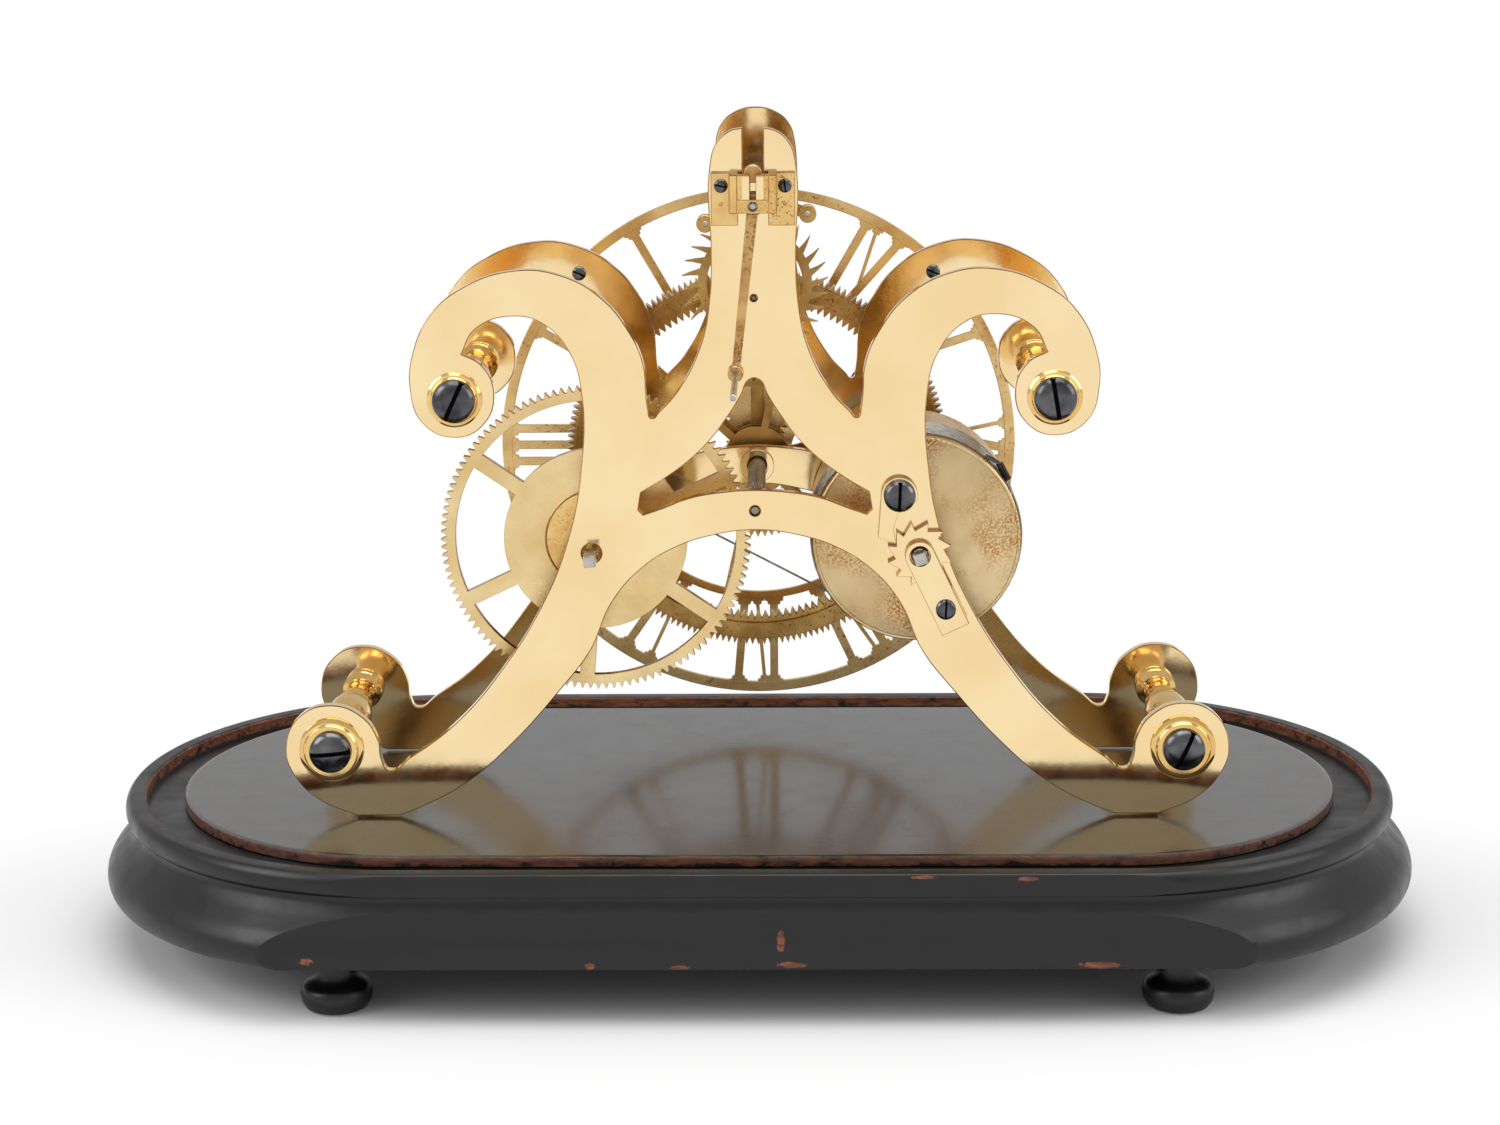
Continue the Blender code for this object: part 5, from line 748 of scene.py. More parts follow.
def plate(name, start, top, *holes):
    """One plate: top begins the column's outline, and each hole is a radius and a place."""
    holes = [circle(2.1, p) for p in PILLARS] + [circle(*hole) for hole in holes]
    rows = [both_halves(top + outline), both_halves(triangle)]
    place(name + "_sheet", edged(flat(PLATE_BRASS, holes, start, SHEET, edge=0.28, smooth_rows=rows), 0.3),
          "frame", "brass_plates", name)


plate("rear_plate", 0, ((0.021, 0.865, 1), (0.021, 1.003, 1)), (1.4,), (2.7, GREAT), (2.6, BARREL),
      (0.9, ESCAPE), (3.0, PALLET), (1.9, CLICK), (1.3, polar(BRIDGE_SCREW, BRIDGE_LEAN, BARREL)),
      (1.3, (-8.4, 87.8)), (1.3, (8.4, 87.8)))
plate("front_plate", FRONT, ((0.0, 1.010),), (2.7,), (1.5, GREAT), (1.7, BARREL), (3.4, ESCAPE),
      (1.1, PALLET), (1.7, (0, 70.5)))
# A turned bush is riveted round the centre arbor's hole and stands proud of the plate's inner face.
place("centre_bush", edged(tube(PLATE_BRASS, 3.3, 4.9, 62.4, 63.9, count=48)), "frame", "brass_plates")

# %% [markdown]
# ## Pillars, washers and screws
# Four turned pillars hold the plates apart. At each end a stepped washer and a big domed, slotted and
# blued screw pull the plate against the pillar. The three shapes are turned once and set down by the
# repeating tree, each screw with its own slot angle.

# %% Pillars and washers
PILLAR_START, PILLAR_LENGTH = 3.3, 60.1
half = [(5.6, 0), (5.8, 0.25), (5.8, 2.4), (5.5, 2.8), (4.3, 3.2), (3.7, 4.2), (3.45, 6.2), (3.5, 9.0),
        (3.9, 12.0), (4.5, 15.0), (4.9, 17.6), (5.0, 18.6), (4.7, 19.2), (3.8, 19.6), (3.7, 20.6),
        (4.4, 21.2), (5.2, 22.8), (5.9, 25.2), (6.2, 28.0), (6.25, 30.05)]
shank = [(0, 0)] + half + [(r, PILLAR_LENGTH - y) for r, y in reversed(half[:-1])] + [(0, PILLAR_LENGTH)]
pillar = turned(None, [(r, y + PILLAR_START) for r, y in shank], about=ORIGIN)
place("turned_brass_pillars", repeated(pillar, PILLAR_BRASS, [spot(x, 0, z) for x, z in PILLARS]), "frame",
      "brass_pillars", *[f"pillar_{level}_{side}" for level in LEVELS for side in SIDES])

for level, radius, points in (("upper", 7.4, PILLARS[:2]), ("lower", 8.9, PILLARS[2:])):
    steps = [(2.2, 0), (radius - 0.2, 0), (radius, -0.2), (radius, -0.7), (radius * 0.93, -1.05),
             (radius * 0.86, -1.05), (radius * 0.84, -1.5), (radius * 0.80, -1.8), (2.2, -1.8)]
    spots = [spot(x, -0.3, z) for x, z in points] + [spot(x, 67.0, z, front=True) for x, z in points]
    washer = turned(None, steps, ring=True, about=ORIGIN)
    place(f"stepped_washers_{level}", repeated(washer, PILLAR_BRASS, spots), "frame", "brass_pillars",
          *[f"washer_{end}_{level}_{side}" for end in ENDS for side in SIDES])


# %% Screws
def screws(name, nodes, spots, radius, dome, shank_radius, shank_length, slot_width, slot_depth):
    """Blued screws with a slot, set down where their heads' seats are, with the heads towards -Y."""
    profile = [(0, -dome), (radius * 0.45, -dome * 0.96), (radius * 0.75, -dome * 0.82),
               (radius * 0.93, -dome * 0.58), (radius, -dome * 0.38), (radius, -0.15),
               (radius - 0.15, 0), (shank_radius, 0), (shank_radius, shank_length), (0, shank_length)]
    screw = turned(None, profile, count=40, about=ORIGIN)
    cutter = block(None, (-radius - 1, -dome - 1, -slot_width / 2),
                   (radius + 1, -dome + slot_depth, slot_width / 2), 0.05, about=ORIGIN)
    boolean = screw.modifiers.new("slot", "BOOLEAN")
    boolean.operation, boolean.solver, boolean.object = "DIFFERENCE", "EXACT", cutter
    mesh = welded(baked(screw, cutter))
    # The slot's faces are marked so that the steel paints them near black, as painted shade.
    for mark, face in zip(mesh.attributes.new("slot", "FLOAT", "FACE").data, mesh.polygons):
        _, along, across = face.center / MM
        mark.value = float(abs(across) < slot_width * 0.52 and along < slot_depth - dome + 0.1)
    copies = repeated(smooth(new_object("part", mesh)), BLUED_STEEL, spots)
    place(name, copies, "frame", "steel_blued", *nodes)


slots = [radians(degrees) for degrees in (65, 100, 5, 65)]
spots = [spot(x, y, z, turn, front) for y, front in ((-2.4, False), (69.1, True))
         for (x, z), turn in zip(PILLARS, slots)]
screws("blued_pillar_screws", [f"pillar_screw_{end}_{level}_{side}" for end in ENDS for level in LEVELS
                               for side in SIDES], spots, 5.7, 2.8, 1.8, 14.0, 1.2, 1.7)

# %% [markdown]
# ## Great wheel and fusee
# The great wheel has 120 teeth and six crossings, with a sunk face round its collet. In front of it
# stands the fusee, a cone whose groove takes the line; its arbor ends in a square for the winding key.

# %% Great wheel and fusee
GREAT_TEETH = 120
great = wheel(WHEEL_BRASS, GREAT_TEETH, 41.4, 43.0, 0, 18.0, 2.5,
              windows(25.4, 38.9, 6, 4.2, radians(25.5)) + [circle(2.0)], GREAT, shares=(0.36, 0.05))
sink = turned(COCK_BRASS, [(2.1, 17.96), (13.5, 17.96), (13.5, 18.06), (2.1, 18.06)], GREAT, ring=True)
collet = tube(WHEEL_BRASS, 2.1, 8.3, 17.4, 18.2, GREAT, 56, 0.1)
lip = turned(TRAIN_BRASS, [(13.5, 17.95), (13.9, 17.85), (14.1, 17.98), (13.8, 18.1)], GREAT, ring=True)
place("great_wheel_and_collet", [edged(paint(great, WHEEL_BRASS)), sink, collet, lip], "great",
      "brass_wheels", "great_wheel")

FUSEE_START, FUSEE_LENGTH, FUSEE_TURNS, WIDE_END, NARROW_END = 22.0, 28.5, 12, 21.5, 9.0


def fusee_radius(along):
    share = min(max(along / FUSEE_LENGTH, 0), 1)
    return 1 / ((1 - share) / WIDE_END + share / NARROW_END)


def square(half, start, end, at, degrees):
    """The squared steel end that a key turns."""
    return block(BRIGHT_STEEL, (at[0] - half, start, at[1] - half), (at[0] + half, end, at[1] + half), 0.3,
                 radians(degrees), at)


cone = [(0, -0.8), (1.7, -0.8), (1.7, 20.8), (24.4, 20.8), (24.6, 21.0), (24.6, 21.8), (24.4, 22.0)]
for turn in range(FUSEE_TURNS):
    for share, depth in ((0.0, 0.0), (0.12, 0.0), (0.3, 0.42), (0.5, 0.62), (0.7, 0.42), (0.88, 0.0)):
        along = (turn + share) * FUSEE_LENGTH / FUSEE_TURNS
        cone.append((fusee_radius(along) - depth, FUSEE_START + along))
cone += [(9.0, 50.5), (11.9, 50.5), (12.0, 50.7), (12.0, 51.9), (11.8, 52.1), (1.7, 52.1), (1.7, 63.4),
         (1.2, 63.4), (1.2, 66.4), (0, 66.4)]
place("fusee_and_winding_square", [turned(DRUM_BRASS, cone, GREAT, 64), square(1.6, -10.5, -0.4, GREAT, 4)],
      "fusee", "steel_arbors", "fusee")

# %% [markdown]
# ## The line
# A twisted steel line joins the fusee to the barrel. It leaves the top of the fusee and passes under
# the barrel, so the two turn opposite ways. Its route is a formula: a spiral on the cone, the straight
# run that touches both circles, and a spiral on the drum, ending in the crimped hook.

# %% Line and hook
LINE_RADIUS, DRUM_RADIUS = 0.3, 28.7
LIFT = LINE_RADIUS + 0.15
START_ALONG, LEAVE_ALONG, FUSEE_LOOPS, BARREL_LOOPS, PER_LOOP = 2.6, 15.5, 5, 12.4167, 48


def spiral(radius_at, first, last, start, end, centre, loops):
    """Points round a centre whose radius follows from the place along the axis."""
    points, steps = [], round(loops * PER_LOOP)
    for share in [k / steps for k in range(steps + 1)]:
        along = start + (end - start) * share
        x, z = polar(radius_at(along) + LIFT, first + (last - first) * share, centre)
        points.append((x, along, z))
    return points


reach = fusee_radius(LEAVE_ALONG) + DRUM_RADIUS + 2 * LIFT
leave = pi / 2 - asin(reach / (BARREL[0] - GREAT[0]))
route = spiral(lambda along: fusee_radius(along - FUSEE_START), leave + TAU * FUSEE_LOOPS, leave,
               FUSEE_START + START_ALONG, FUSEE_START + LEAVE_ALONG, GREAT, FUSEE_LOOPS)
route.insert(0, (route[0][0], FUSEE_START + 0.4, route[0][2]))
route += spiral(lambda along: DRUM_RADIUS, leave + pi, leave + pi + TAU * BARREL_LOOPS, 38.5, 19.4, BARREL,
                BARREL_LOOPS)
place("twisted_steel_line", wire(LINE_STEEL, route, LINE_RADIUS), "frame", "steel_line", "fusee_line")
print("line length, mm:", round(sum((Vector(b) - Vector(a)).length for a, b in zip(route, route[1:]))))

drum_middle = Vector((BARREL[0], 0, BARREL[1]))
last = Vector(route[-1])
heading = (last - Vector(route[-2])).normalized()
outward = last - drum_middle
outward.y = 0
sleeve = [last + heading * (0.3 + far) + outward.normalized() * 0.7 for far in (0, 2.4, 2.8, 5.2)]
away = sleeve[-1] - drum_middle
reach, angle = hypot(away.x, away.z), atan2(away.z, away.x)
stem = [sleeve[-1] - heading * 0.5]
for share in [k / 12 for k in range(1, 13)]:
    x, z = polar(reach + (29.6 - reach) * share, angle + share * 4.0 / DRUM_RADIUS, BARREL)
    stem.append((x, last.y, z))
place("line_ferrule_and_hook", [wire(HOOK_STEEL, sleeve, 1.05), wire(BLUED_STEEL, stem, 0.6)], "frame",
      "steel_blued", "line_hook")

# %% [markdown]
# ## Barrel, ratchet, click and bridge
# The mainspring lies in a brass drum closed by a cover let into its back. Behind the plate the drum's
# arbor carries a ratchet wheel that holds the spring's set-up, with its click, and a bridge with a
# round end over it.

# %% Barrel
drum = [(28.4, 16.0), (DRUM_RADIUS, 16.2), (DRUM_RADIUS, 59.7), (28.4, 60.0), (2.6, 60.0), (2.6, 58.5),
        (27.2, 58.5), (27.2, 18.3), (27.9, 18.3), (27.9, 16.0)]
place("barrel_wall", turned(COVER_BRASS, drum, BARREL, 96, ring=True), "barrel", "brass_wheels",
      "barrel_drum")
cover = [(27.6, 16.05), (27.85, 16.15), (27.85, 18.0), (2.6, 18.0), (2.6, 16.3), (5.4, 16.1), (5.5, 16.25),
         (5.7, 16.1)]
place("barrel_cover_disc", turned(COVER_BRASS, cover, BARREL, 96, ring=True), "barrel", "brass_tarnished",
      "barrel_cover")
arbor = eased([(0, -5.4), (2.1, -5.4), (2.1, 0), (2.3, 0), (2.3, 18.3), (6.0, 18.3), (6.0, 58.2), (2.3, 58.2),
               (2.3, 63.4), (1.4, 63.4), (1.4, 66.4), (0, 66.4)])
place("barrel_arbor_and_square", [turned(DULL_STEEL, arbor, BARREL, 40), square(1.7, -9.0, -5.0, BARREL, 17)],
      "frame", "steel_arbors", "barrel_arbor")
# The CAD model's own spring is shut up in the drum, so it keeps its shape and only gets its steel.
paint(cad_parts["mainspring"], steel("blue_tempered_spring_steel", "#3A4660", "#283044", 0.25, 0.35))

# %% Ratchet, click and bridge
teeth = []
for tip in [radians(15.5) + TAU * k / 12 for k in range(12)]:
    teeth += [polar(6.6, tip - radians(4.5)), polar(8.8, tip - radians(0.6)), polar(8.8, tip)]
place("ratchet_sheet", edged(flat(PLATE_BRASS, [teeth, circle(2.4)], -2.6, 2.3, BARREL, 0.1)), "frame",
      "brass_wheels", "ratchet_wheel")
head = arc(4.9, radians(-20), radians(180), 24)
tail = [(-5.7, -11.6), (-0.9, -13.2), (-1.65, -9.3), (-0.4, -5.0)]
place("click_sheet", edged(flat(PLATE_BRASS, [head + tail, circle(1.9)], -2.6, 2.3, CLICK, 0.1)), "click",
      "brass_wheels", "click")
screws("blued_click_screw", ["click_screw"], [spot(CLICK[0], -2.9, CLICK[1], radians(88))], 4.3, 2.6, 1.6,
       5.3, 0.9, 1.0)
bar = swung(arc(4.0, pi / 2, 1.5 * pi, 24) + [(22.6, -4.0), (22.6, 4.0)], BRIDGE_LEAN)
holes = [circle(2.75), circle(1.3, polar(BRIDGE_SCREW, BRIDGE_LEAN))]
foot = block(PLATE_BRASS, (BARREL[0] + 12.8, -3.1, BARREL[1] - 3.95),
             (BARREL[0] + 22.55, -0.3, BARREL[1] + 3.95), 0.1, BRIDGE_LEAN, BARREL)
place("ratchet_bridge_bar", [edged(flat(PLATE_BRASS, [bar] + holes, -5.2, 2.3, BARREL)), foot], "frame",
      "brass_plates", "ratchet_bridge")
x, z = polar(BRIDGE_SCREW, BRIDGE_LEAN, BARREL)
screws("blued_bridge_screw", ["bridge_screw"], [spot(x, -5.5, z, radians(88))], 2.7, 1.2, 1.0, 8.2, 0.6, 0.6)

# %% [markdown]
# ## Centre arbor and the epicyclic train
# In front of the front plate a large ring, toothed inside and out, turns on the centre arbor. An arm on
# the arbor carries a planet wheel that runs inside the ring, while its pinion walks round a fixed sun
# wheel. So one great wheel, one planet and one ring replace the usual chain of wheels.

# %% Centre arbor, ring, planet and sun
def meshing(angle, mate_teeth, teeth):
    """The phase of a wheel whose gaps take the teeth of its mate, seen from the mate at an angle."""
    return angle + pi + ((angle / (TAU / mate_teeth)) % 1 - 0.5) * TAU / teeth


def capsule(start, end, start_radius, end_radius):
    heading = atan2(end[1] - start[1], end[0] - start[0])
    return arc(end_radius, heading - pi / 2, heading + pi / 2, 16, end) \
        + arc(start_radius, heading + pi / 2, heading + 1.5 * pi, 16, start)


arbor = eased([(0, 0.3), (1.1, 0.3), (1.1, 3.3), (2.6, 3.3), (2.6, 62.0), (2.3, 62.0), (2.3, 81.9),
               (1.6, 81.9), (1.6, 103.6), (1.2, 104.0), (0, 104.0)])
pinion = wheel(BRIGHT_STEEL, 10, 2.75, 4.0, meshing(radians(14.65), GREAT_TEETH, 10), 17.0, 4.5, edge=0.08,
               shares=(0.20, 0.08))
place("centre_arbor_and_pinion", [turned(DULL_STEEL, arbor, count=40), pinion], "centre", "steel_arbors",
      "centre_arbor")
arm = [capsule((0, 0), PLANET, 5.0, 3.0), circle(2.6), circle(1.1, PLANET)]
place("planet_arm_sheet", flat(WHEEL_BRASS, arm, 73.3, 1.1, edge=0.1), "centre", "brass_wheels", "planet_arm")

RING_INNER_TEETH = 144
step = TAU / RING_INNER_TEETH
inner_teeth = [polar(radius, (k + share) * step) for k in range(RING_INNER_TEETH)
               for radius, share in ((48.4, -0.5), (46.3, -0.06), (46.3, 0.06))]
place("double_toothed_ring", [
    wheel(TRAIN_BRASS, 196, 54.4, 56.2, 0, 73.0, 2.8, [circle(49.9, count=120)], edge=0.08),
    flat(TRAIN_BRASS, [circle(50.0, count=120), inner_teeth], 73.02, 2.76, edge=0.06),
    flat(TRAIN_BRASS, [circle(54.0, count=120), circle(2.6)] + windows(10.0, 49.4, 6, 2.2, radians(17.2)),
         71.6, 1.5, edge=0.1)], "ring", "brass_tarnished", "ring_wheel")
place("planet_wheel_and_pinion", [
    wheel(WHEEL_BRASS, 64, 19.5, 21.25, 0.5 * TAU / 64, 74.7, 1.4, windows(4.5, 16.5, 4, 2.0, 0.4), PLANET,
          0.08, (0.40, 0.06)),
    wheel(BRIGHT_STEEL, 7, 1.40, 2.60, pi - 0.5 * TAU / 7, 75.9, 2.8, (), PLANET, 0.05, (0.16, 0.08)),
    rod(BRIGHT_STEEL, 0.8, 73.3, 74.9, PLANET)], "planet", "brass_wheels", "planet_wheel")
place("fixed_sun_wheel", wheel(TRAIN_BRASS, 72, 22.6, 24.2, 0, 77.2, 1.5,
                               windows(9.7, 21.1, 4, 3.0, radians(45)) + [circle(2.6)], edge=0.08),
      "frame", "brass_tarnished", "sun_wheel")

# %% [markdown]
# ## Escapement
# The escape wheel has thirty slender teeth and stands high on its own arbor. Two pins on the pallets
# stop it in turn; the pallets' arbor runs out behind the plate, where the crutch hangs from it, a thin
# leaning strip with a pin that would drive the pendulum.

# %% Escape wheel
teeth = [polar(radius, radians(5.2) + TAU * k / 30 - radians(before)) for k in range(30)
         for radius, before in ((15.7, 9.4), (16.1, 8.3), (18.0, 4.4), (20.2, 0.3), (20.2, -0.1), (18.0, 1.4),
                                (16.2, 2.2), (15.7, 2.6))]
escape = flat(TRAIN_BRASS, [teeth] + windows(4.2, 13.2, 5, 1.8, radians(5.2)), 27.2, 1.6, ESCAPE, 0.07)
arbor = eased([(0, 0.3), (0.6, 0.3), (0.6, 3.3), (1.0, 3.3), (1.0, 25.6), (2.9, 25.6), (2.9, 30.4),
               (1.0, 30.4), (1.0, 78.7), (0.6, 78.7), (0.6, 81.1), (0, 81.1)])
pinion = wheel(BRIGHT_STEEL, 7, 1.2, 2.36, radians(270) - 0.5 * TAU / 7, 72.4, 4.0, (), ESCAPE, 0.05,
               (0.16, 0.08))
place("escape_wheel_and_arbor", [escape, turned(DULL_STEEL, arbor, ESCAPE, 28), pinion], "escape",
      "brass_tarnished", "escape_wheel")

# %% Pallets and crutch
PIN_REACH, CRUTCH_REACH = 15.45, 45.4
pieces = [rod(DULL_STEEL, 3.8, 22.2, 24.2, PALLET)]
for side in (-1, 1):
    angle = radians(65 + side * 5.2)
    pin = (side * PIN_REACH * sin(angle), -PIN_REACH * cos(angle))
    there = (PALLET[0] + pin[0], PALLET[1] + pin[1])
    pieces += [flat(TRAIN_BRASS, [capsule((0, 0), pin, 1.9, 1.5)], 22.4, 1.6, PALLET),
               rod(TRAIN_BRASS, 2.4, 21.2, 25.2, there), rod(BRIGHT_STEEL, 0.75, 21.0, 29.0, there, 20)]
arbor = eased([(0, -7.9), (0.8, -7.9), (0.8, -3.7), (1.3, -3.7), (1.3, 63.4), (0.8, 63.4), (0.8, 66.4),
               (0, 66.4)], 0.08)
place("pin_pallets_and_arbor", pieces + [turned(BRIGHT_STEEL, arbor, PALLET, 28)], "pallets", "steel_arbors",
      "pallets")
end = polar(CRUTCH_REACH, radians(270 - 6.26))
foot = (PALLET[0] + end[0], PALLET[1] + end[1])
place("crutch_and_pin", [flat(CRUTCH_BRASS, [capsule((0, 0), end, 1.5, 1.05)], -2.6, 1.2, PALLET),
                         tube(CRUTCH_BRASS, 1.35, 2.8, -2.8, -1.2, PALLET),
                         rod(CRUTCH_BRASS, 2.1, -2.75, -1.2, foot),
                         rod(BRIGHT_STEEL, 0.85, -39.6, -2.5, foot)],
      "pallets", "brass_tarnished", "crutch")

# %% [markdown]
# ## Suspension cock
# The cock is a small bridge screwed across the column. A slot in its raised middle takes the
# pendulum's suspension, which hangs from the round chops; the pallets' arbor pivots just under it.

# %% Suspension cock
def mirrored(material, near, far, back, front, low, high, edge):
    """A block on each side of the slot, from near to far off the middle."""
    return [block(material, (min(side * far, side * near), back, low),
                  (max(side * far, side * near), front, high), edge) for side in (-1, 1)]


lower_face = [[(-4.2, 81.05), (4.2, 81.05), (4.2, 84.6), (-4.2, 84.6)], circle(1.3, PALLET, 24)]
walls = mirrored(COCK_BRASS, 4.0, 11.1, -2.6, -0.3, 77.3, 91.2, 0.2) \
    + mirrored(COCK_BRASS, 4.0, 6.3, -8.2, -2.4, 81.0, 91.15, 0.3) \
    + mirrored(COCK_BRASS, 0.8, 4.2, -8.15, -4.0, 84.5, 91.1, 0.2) \
    + [flat(COCK_BRASS, lower_face, -8.15, 4.15, edge=0.1)]
# Flat patches of the paler polished brass stand for the polished facets beside the slot; their extra
# brightness is a painted highlight for the light those facets catch.
facet_highlights = mirrored(PLATE_BRASS, 0.9, 2.8, -8.22, -8.1, 84.7, 90.6, 0.03)
place("suspension_cock_bridge", [edged(wall) for wall in walls] + facet_highlights, "frame", "brass_plates",
      "suspension_cock")
for name, x, degrees in (("left", -8.4, -12), ("right", 8.4, 98)):
    screws(f"blued_cock_screw_{name}", [f"cock_screw_{name}"], [spot(x, -2.9, 87.8, radians(degrees))], 1.8,
           0.9, 1.0, 5.3, 0.45, 0.45)
place("cock_steady_pins", [rod(CRUTCH_BRASS, 0.6, -2.75, -0.5, (x, 83.1), 20) for x in (-8.5, 8.5)], "frame",
      "brass_tarnished")
place("suspension_chops", rod(CRUTCH_BRASS, 2.3, -3.9, -0.1, (0, 91.0), 40), "frame", "brass_tarnished")

# %% [markdown]
# ## Front cock and motion work
# A brass bar reaches from the column down over the ring. It holds the sun wheel still, carries the
# front pivot of the escape arbor and the stud of the motion work, which turns the hour hand once in
# twelve turns of the minute hand.

# %% Front cock and motion work
bar = [(-1.8, 0), (1.8, 0), (1.8, 62), (-1.8, 62)]
place("front_cock_bar", [flat(TRAIN_BRASS, [bar], 79.0, 2.4, edge=0.2),
                         tube(PLATE_BRASS, 2.6, 6.8, 78.9, 81.6, count=48),
                         tube(PLATE_BRASS, 0.9, 3.4, 78.9, 81.6, ESCAPE),
                         block(PLATE_BRASS, (-6.0, 67.0, 61.0), (6.0, 81.5, 76.0), 0.35),
                         rod(BRIGHT_STEEL, 0.9, 81.2, 88.0, MINUTE)], "frame", "brass_plates", "front_cock")
screws("blued_front_cock_screw", ["front_cock_screw"], [spot(0, 81.8, 70.5, radians(20), front=True)],
       3.0, 2.0, 1.4, 17.7, 0.7, 0.9)

CANNON_LEAVES, MINUTE_LEAVES, LEAF_SHARES = 12, 10, (0.21, 0.09)
place("cannon_pinion_and_pipe", [
    wheel(BRIGHT_STEEL, CANNON_LEAVES, 2.4, 3.40, 0, 82.2, 1.5, [circle(1.9)], edge=0.05, shares=LEAF_SHARES),
    tube(BRIGHT_STEEL, 1.9, 2.2, 82.4, 100.7, edge=0.05)], "centre", "steel_arbors", "cannon_pinion")
place("minute_wheel_and_pinion", [
    wheel(WHEEL_BRASS, 36, 8.3, 9.38, meshing(pi / 2, CANNON_LEAVES, 36), 82.2, 1.2, [circle(1.2)], MINUTE,
          0.06),
    wheel(BRIGHT_STEEL, MINUTE_LEAVES, 1.82, 2.75, 0, 83.3, 2.9, [circle(1.2)], MINUTE, 0.05, LEAF_SHARES)],
      "minute", "brass_wheels", "minute_wheel")
place("hour_wheel_and_pipe", [
    wheel(WHEEL_BRASS, 40, 8.9, 9.96, meshing(-pi / 2, MINUTE_LEAVES, 40), 85.2, 1.2, [circle(2.5)],
          edge=0.06),
    tube(WHEEL_BRASS, 2.5, 3.2, 85.4, 99.1, edge=0.08)], "hour", "brass_wheels", "hour_wheel")

# %% [markdown]
# ## Hands and dial
# The hands are filed from thin steel and blued. The dial is one pierced piece of brass: two rings
# joined by the Roman numerals themselves, whose thick and thin strokes flare where they meet a ring.
# Seen from behind, the hours run the other way round.

# %% Hands
def hand(name, start, length, angle, bore, body, node):
    """Hub, shank, ring and tip, drawn pointing along X and then turned."""
    loop = 0.822 * length
    shank = [(4.0, -0.8), (loop - 3.4, -0.6), (loop - 3.4, 0.6), (4.0, 0.8)]
    tip = [(loop + 3.4, -0.7), (length, -0.2), (length, 0.2), (loop + 3.4, 0.7)]
    shapes = [[circle(4.8), circle(bore)], [shank], [circle(4.0, (loop, 0)), circle(3.0, (loop, 0))], [tip]]
    # Where two shapes overlap, the second is a hair thinner, so that no two faces share a plane.
    insets = [0.02 * (order % 2) for order in range(len(shapes))]
    place(name, [flat(BLUED_STEEL, [swung(o, angle) for o in outlines], start + inset, 0.7 - 2 * inset,
                      edge=0.12) for outlines, inset in zip(shapes, insets)], body, "steel_blued", node)


hand("blued_hour_hand", 99.4, 45.0, radians(30.5), 2.5, "hour", "hour_hand")
hand("blued_minute_hand", 101.0, 70.0, radians(96), 1.9, "centre", "minute_hand")
collet = eased([(1.62, 101.8), (3.6, 101.8), (2.6, 102.9), (1.62, 102.9)])
place("hand_collet", turned(PILLAR_BRASS, collet, count=36, ring=True), "centre", "brass_pillars")

# %% Dial
DIAL_START, DIAL_SHEET, THICK, THIN = 97.0, 1.4, 2.5, 1.1
DIAL_FEET = [polar(75.85, radians(degrees)) for degrees in (48, 132, 219, 321)]
# Every letter is its advance and its strokes: outer end, inner end and width, from its middle.
LETTERS = {"I": (5.0, [(0, 0, THICK)]), "V": (9.0, [(-4.2, -1.8, THICK), (4.2, 1.8, THIN)]),
           "X": (9.8, [(-4.2, 1.6, THICK), (4.2, -1.6, THIN)])}


def strokes_of(numeral):
    at = -sum(LETTERS[letter][0] for letter in numeral) / 2
    for advance, strokes in [LETTERS[letter] for letter in numeral]:
        middle = at + advance / 2
        yield from [(middle + outer, middle + inside, width) for outer, inside, width in strokes]
        at += advance


def stroke_outline(outer, inside, width, direction, low=47.2, high=75.0):
    def at(up, side, flare):
        across = inside + (outer - inside) * (up - low) / (high - low) + side * (width / 2 + flare)
        return swung([(up, across)], direction)[0]
    levels = ((low, 1.7), (low + 1.5, 1.6), (low + 1.7, 0.8), (low + 2.5, 0.7), (low + 2.8, 0),
              (high - 2.7, 0), (high - 2.4, 0.7), (high - 1.6, 0.8), (high - 1.4, 1.6), (high, 1.7))
    return [at(up, -1, f) for up, f in levels] + [at(up, 1, f) for up, f in reversed(levels)]


dial = [flat(DIAL_BRASS, [circle(outer, count=count), circle(inner, count=count)], DIAL_START, DIAL_SHEET,
             edge=0.2) for outer, inner, count in ((77.4, 74.3, 160), (48.0, 45.7, 120))]
numerals = ("I", "II", "III", "IIII", "V", "VI", "VII", "VIII", "IX", "X", "XI", "XII")
for hour, numeral in enumerate(numerals, start=1):
    direction = pi / 2 + TAU * hour / 12
    for order, (outer, inside, width) in enumerate(strokes_of(numeral)):
        inset = 0.03 * (1 + order % 2 + 2 * (width < THICK))
        dial.append(flat(DIAL_BRASS, [stroke_outline(outer, inside, width, direction)], DIAL_START + inset,
                         DIAL_SHEET - 2 * inset))
dial += [rod(DIAL_BRASS, 1.4, 67.0, 97.3, foot) for foot in DIAL_FEET]
place("pierced_roman_dial", dial, "frame", "brass_dial", "dial")
mark = block(None, (-0.15, 0, 74.9), (0.15, 0.1, 76.9), 0.03, about=ORIGIN)
marks = repeated(mark, HOOK_STEEL, [spot(0, 98.38, 0, TAU * k / 60) for k in range(60)])
place("minute_marks", marks, "frame", "steel_blued")
screws("dial_foot_screws", [], [spot(x, FRONT - 0.3, z, -0.4) for x, z in DIAL_FEET], 2.0, 0.9, 1.0, 2.4, 0.5,
       0.45)

# %% [markdown]
# ## Floor, world and lamps
# The photograph was taken on a white sweep. The floor and the world show white to the camera and in
# reflections, while three soft lamps light the clock at a plain level; the floor keeps its shadow.

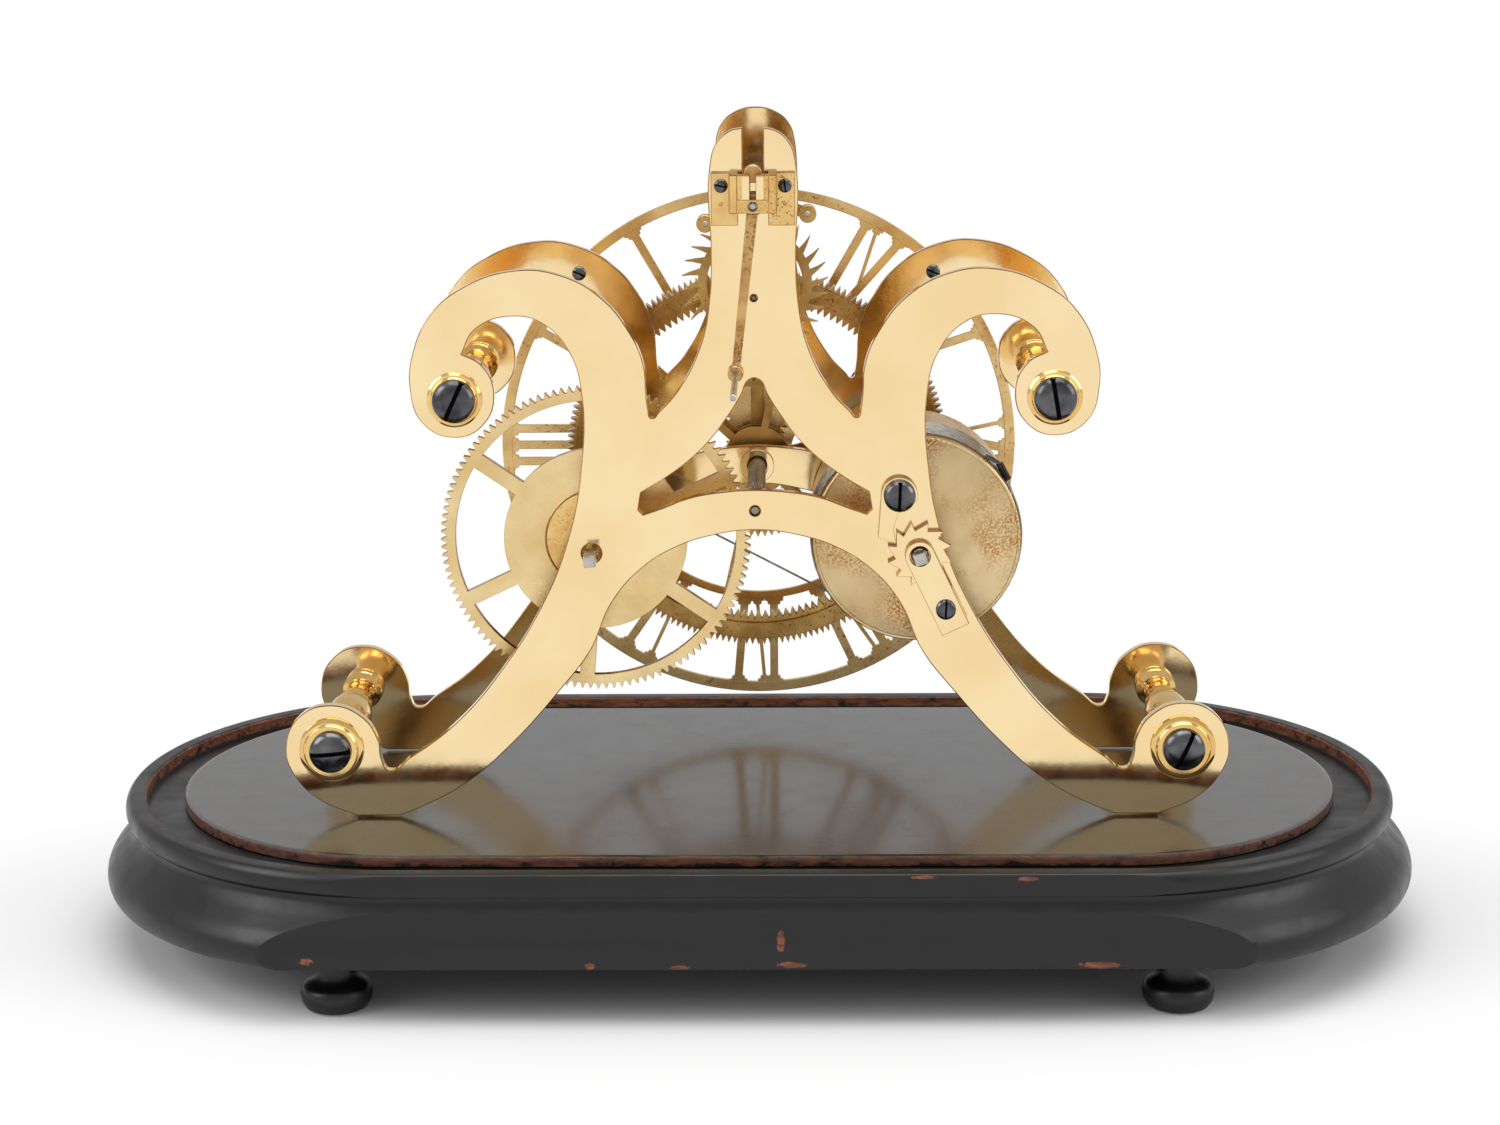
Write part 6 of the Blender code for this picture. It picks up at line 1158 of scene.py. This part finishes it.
# %% Floor
bpy.ops.mesh.primitive_plane_add(size=60, location=(0, 0, 0))
floor = bpy.context.object
floor.name = "white_sweep"
material = bpy.data.materials.new("white_paper")
material.use_nodes = True
tree = material.node_tree
tree.nodes.clear()
path = add(tree, "ShaderNodeLightPath", out=None).outputs
mirrored_ray = add(tree, "ShaderNodeMath", [path["Is Glossy Ray"], path["Is Transmission Ray"]],
                   operation="MAXIMUM")
seen = add(tree, "ShaderNodeMath", [path["Is Camera Ray"], mirrored_ray], operation="MAXIMUM")
# The paper keeps the shadow near the base and turns pure white further out, in metres from the middle
# of the base after a stretch that follows its oval.
FADE_START, FADE_END, FADE_STRETCH = 0.13, 0.23, (0.74, 1.6, 0.0)
away = add(tree, "ShaderNodeVectorMath", [add(tree, "ShaderNodeTexCoord", out="Object"), FADE_STRETCH],
           operation="MULTIPLY")
reach = add(tree, "ShaderNodeVectorMath", [away], "Value", operation="LENGTH")
fade = add(tree, "ShaderNodeMapRange", {"Value": reach, "From Min": FADE_START, "From Max": FADE_END,
                                        "To Min": 0.0, "To Max": 1.0}, interpolation_type="SMOOTHSTEP")
paper = add(tree, "ShaderNodeBsdfDiffuse", {"Color": grey(0.86)})
glow = add(tree, "ShaderNodeEmission", {"Color": grey(1.0), "Strength": 1.0})
share = add(tree, "ShaderNodeMath", [seen, fade], operation="MULTIPLY")
blend = add(tree, "ShaderNodeMixShader", [share, paper, glow])
add(tree, "ShaderNodeOutputMaterial", {"Surface": blend}, None)
paint(floor, material)
print("floor:", floor.name)

# %% World and lamps
world = bpy.data.worlds.new("white_room")
bpy.context.scene.world = world
world.use_nodes = True
tree = world.node_tree
tree.nodes.clear()
path = add(tree, "ShaderNodeLightPath", out=None).outputs
seen = add(tree, "ShaderNodeMath", [path["Is Camera Ray"], path["Is Transmission Ray"]], operation="MAXIMUM")
room, mirror, white = [add(tree, "ShaderNodeBackground", {"Color": grey(level), "Strength": strength})
                       for level, strength in ((0.80, 0.55), (0.80, 0.80), (1.0, 1.0))]
plain = add(tree, "ShaderNodeMixShader", [path["Is Glossy Ray"], room, mirror])
blend = add(tree, "ShaderNodeMixShader", [seen, plain, white])
add(tree, "ShaderNodeOutputWorld", {"Surface": blend}, None)


def lamp(name, where, aim, size, watts):
    light = bpy.data.lights.new(name, "AREA")
    light.shape, light.energy = "RECTANGLE", watts
    light.size, light.size_y = size
    obj = bpy.data.objects.new(name, light)
    bpy.context.scene.collection.objects.link(obj)
    obj.location = where
    obj.rotation_euler = (Vector(aim) - Vector(where)).to_track_quat("-Z", "Y").to_euler()


lamp("soft_top", (0.1, -0.3, 1.5), (0, 0, 0.1), (1.4, 1.0), 13)
lamp("soft_left", (-1.3, -0.7, 0.9), (0, 0, 0.12), (0.9, 0.9), 9)
lamp("soft_right", (1.4, -0.5, 0.8), (0, 0, 0.12), (0.9, 0.9), 7)
print("stage ready")
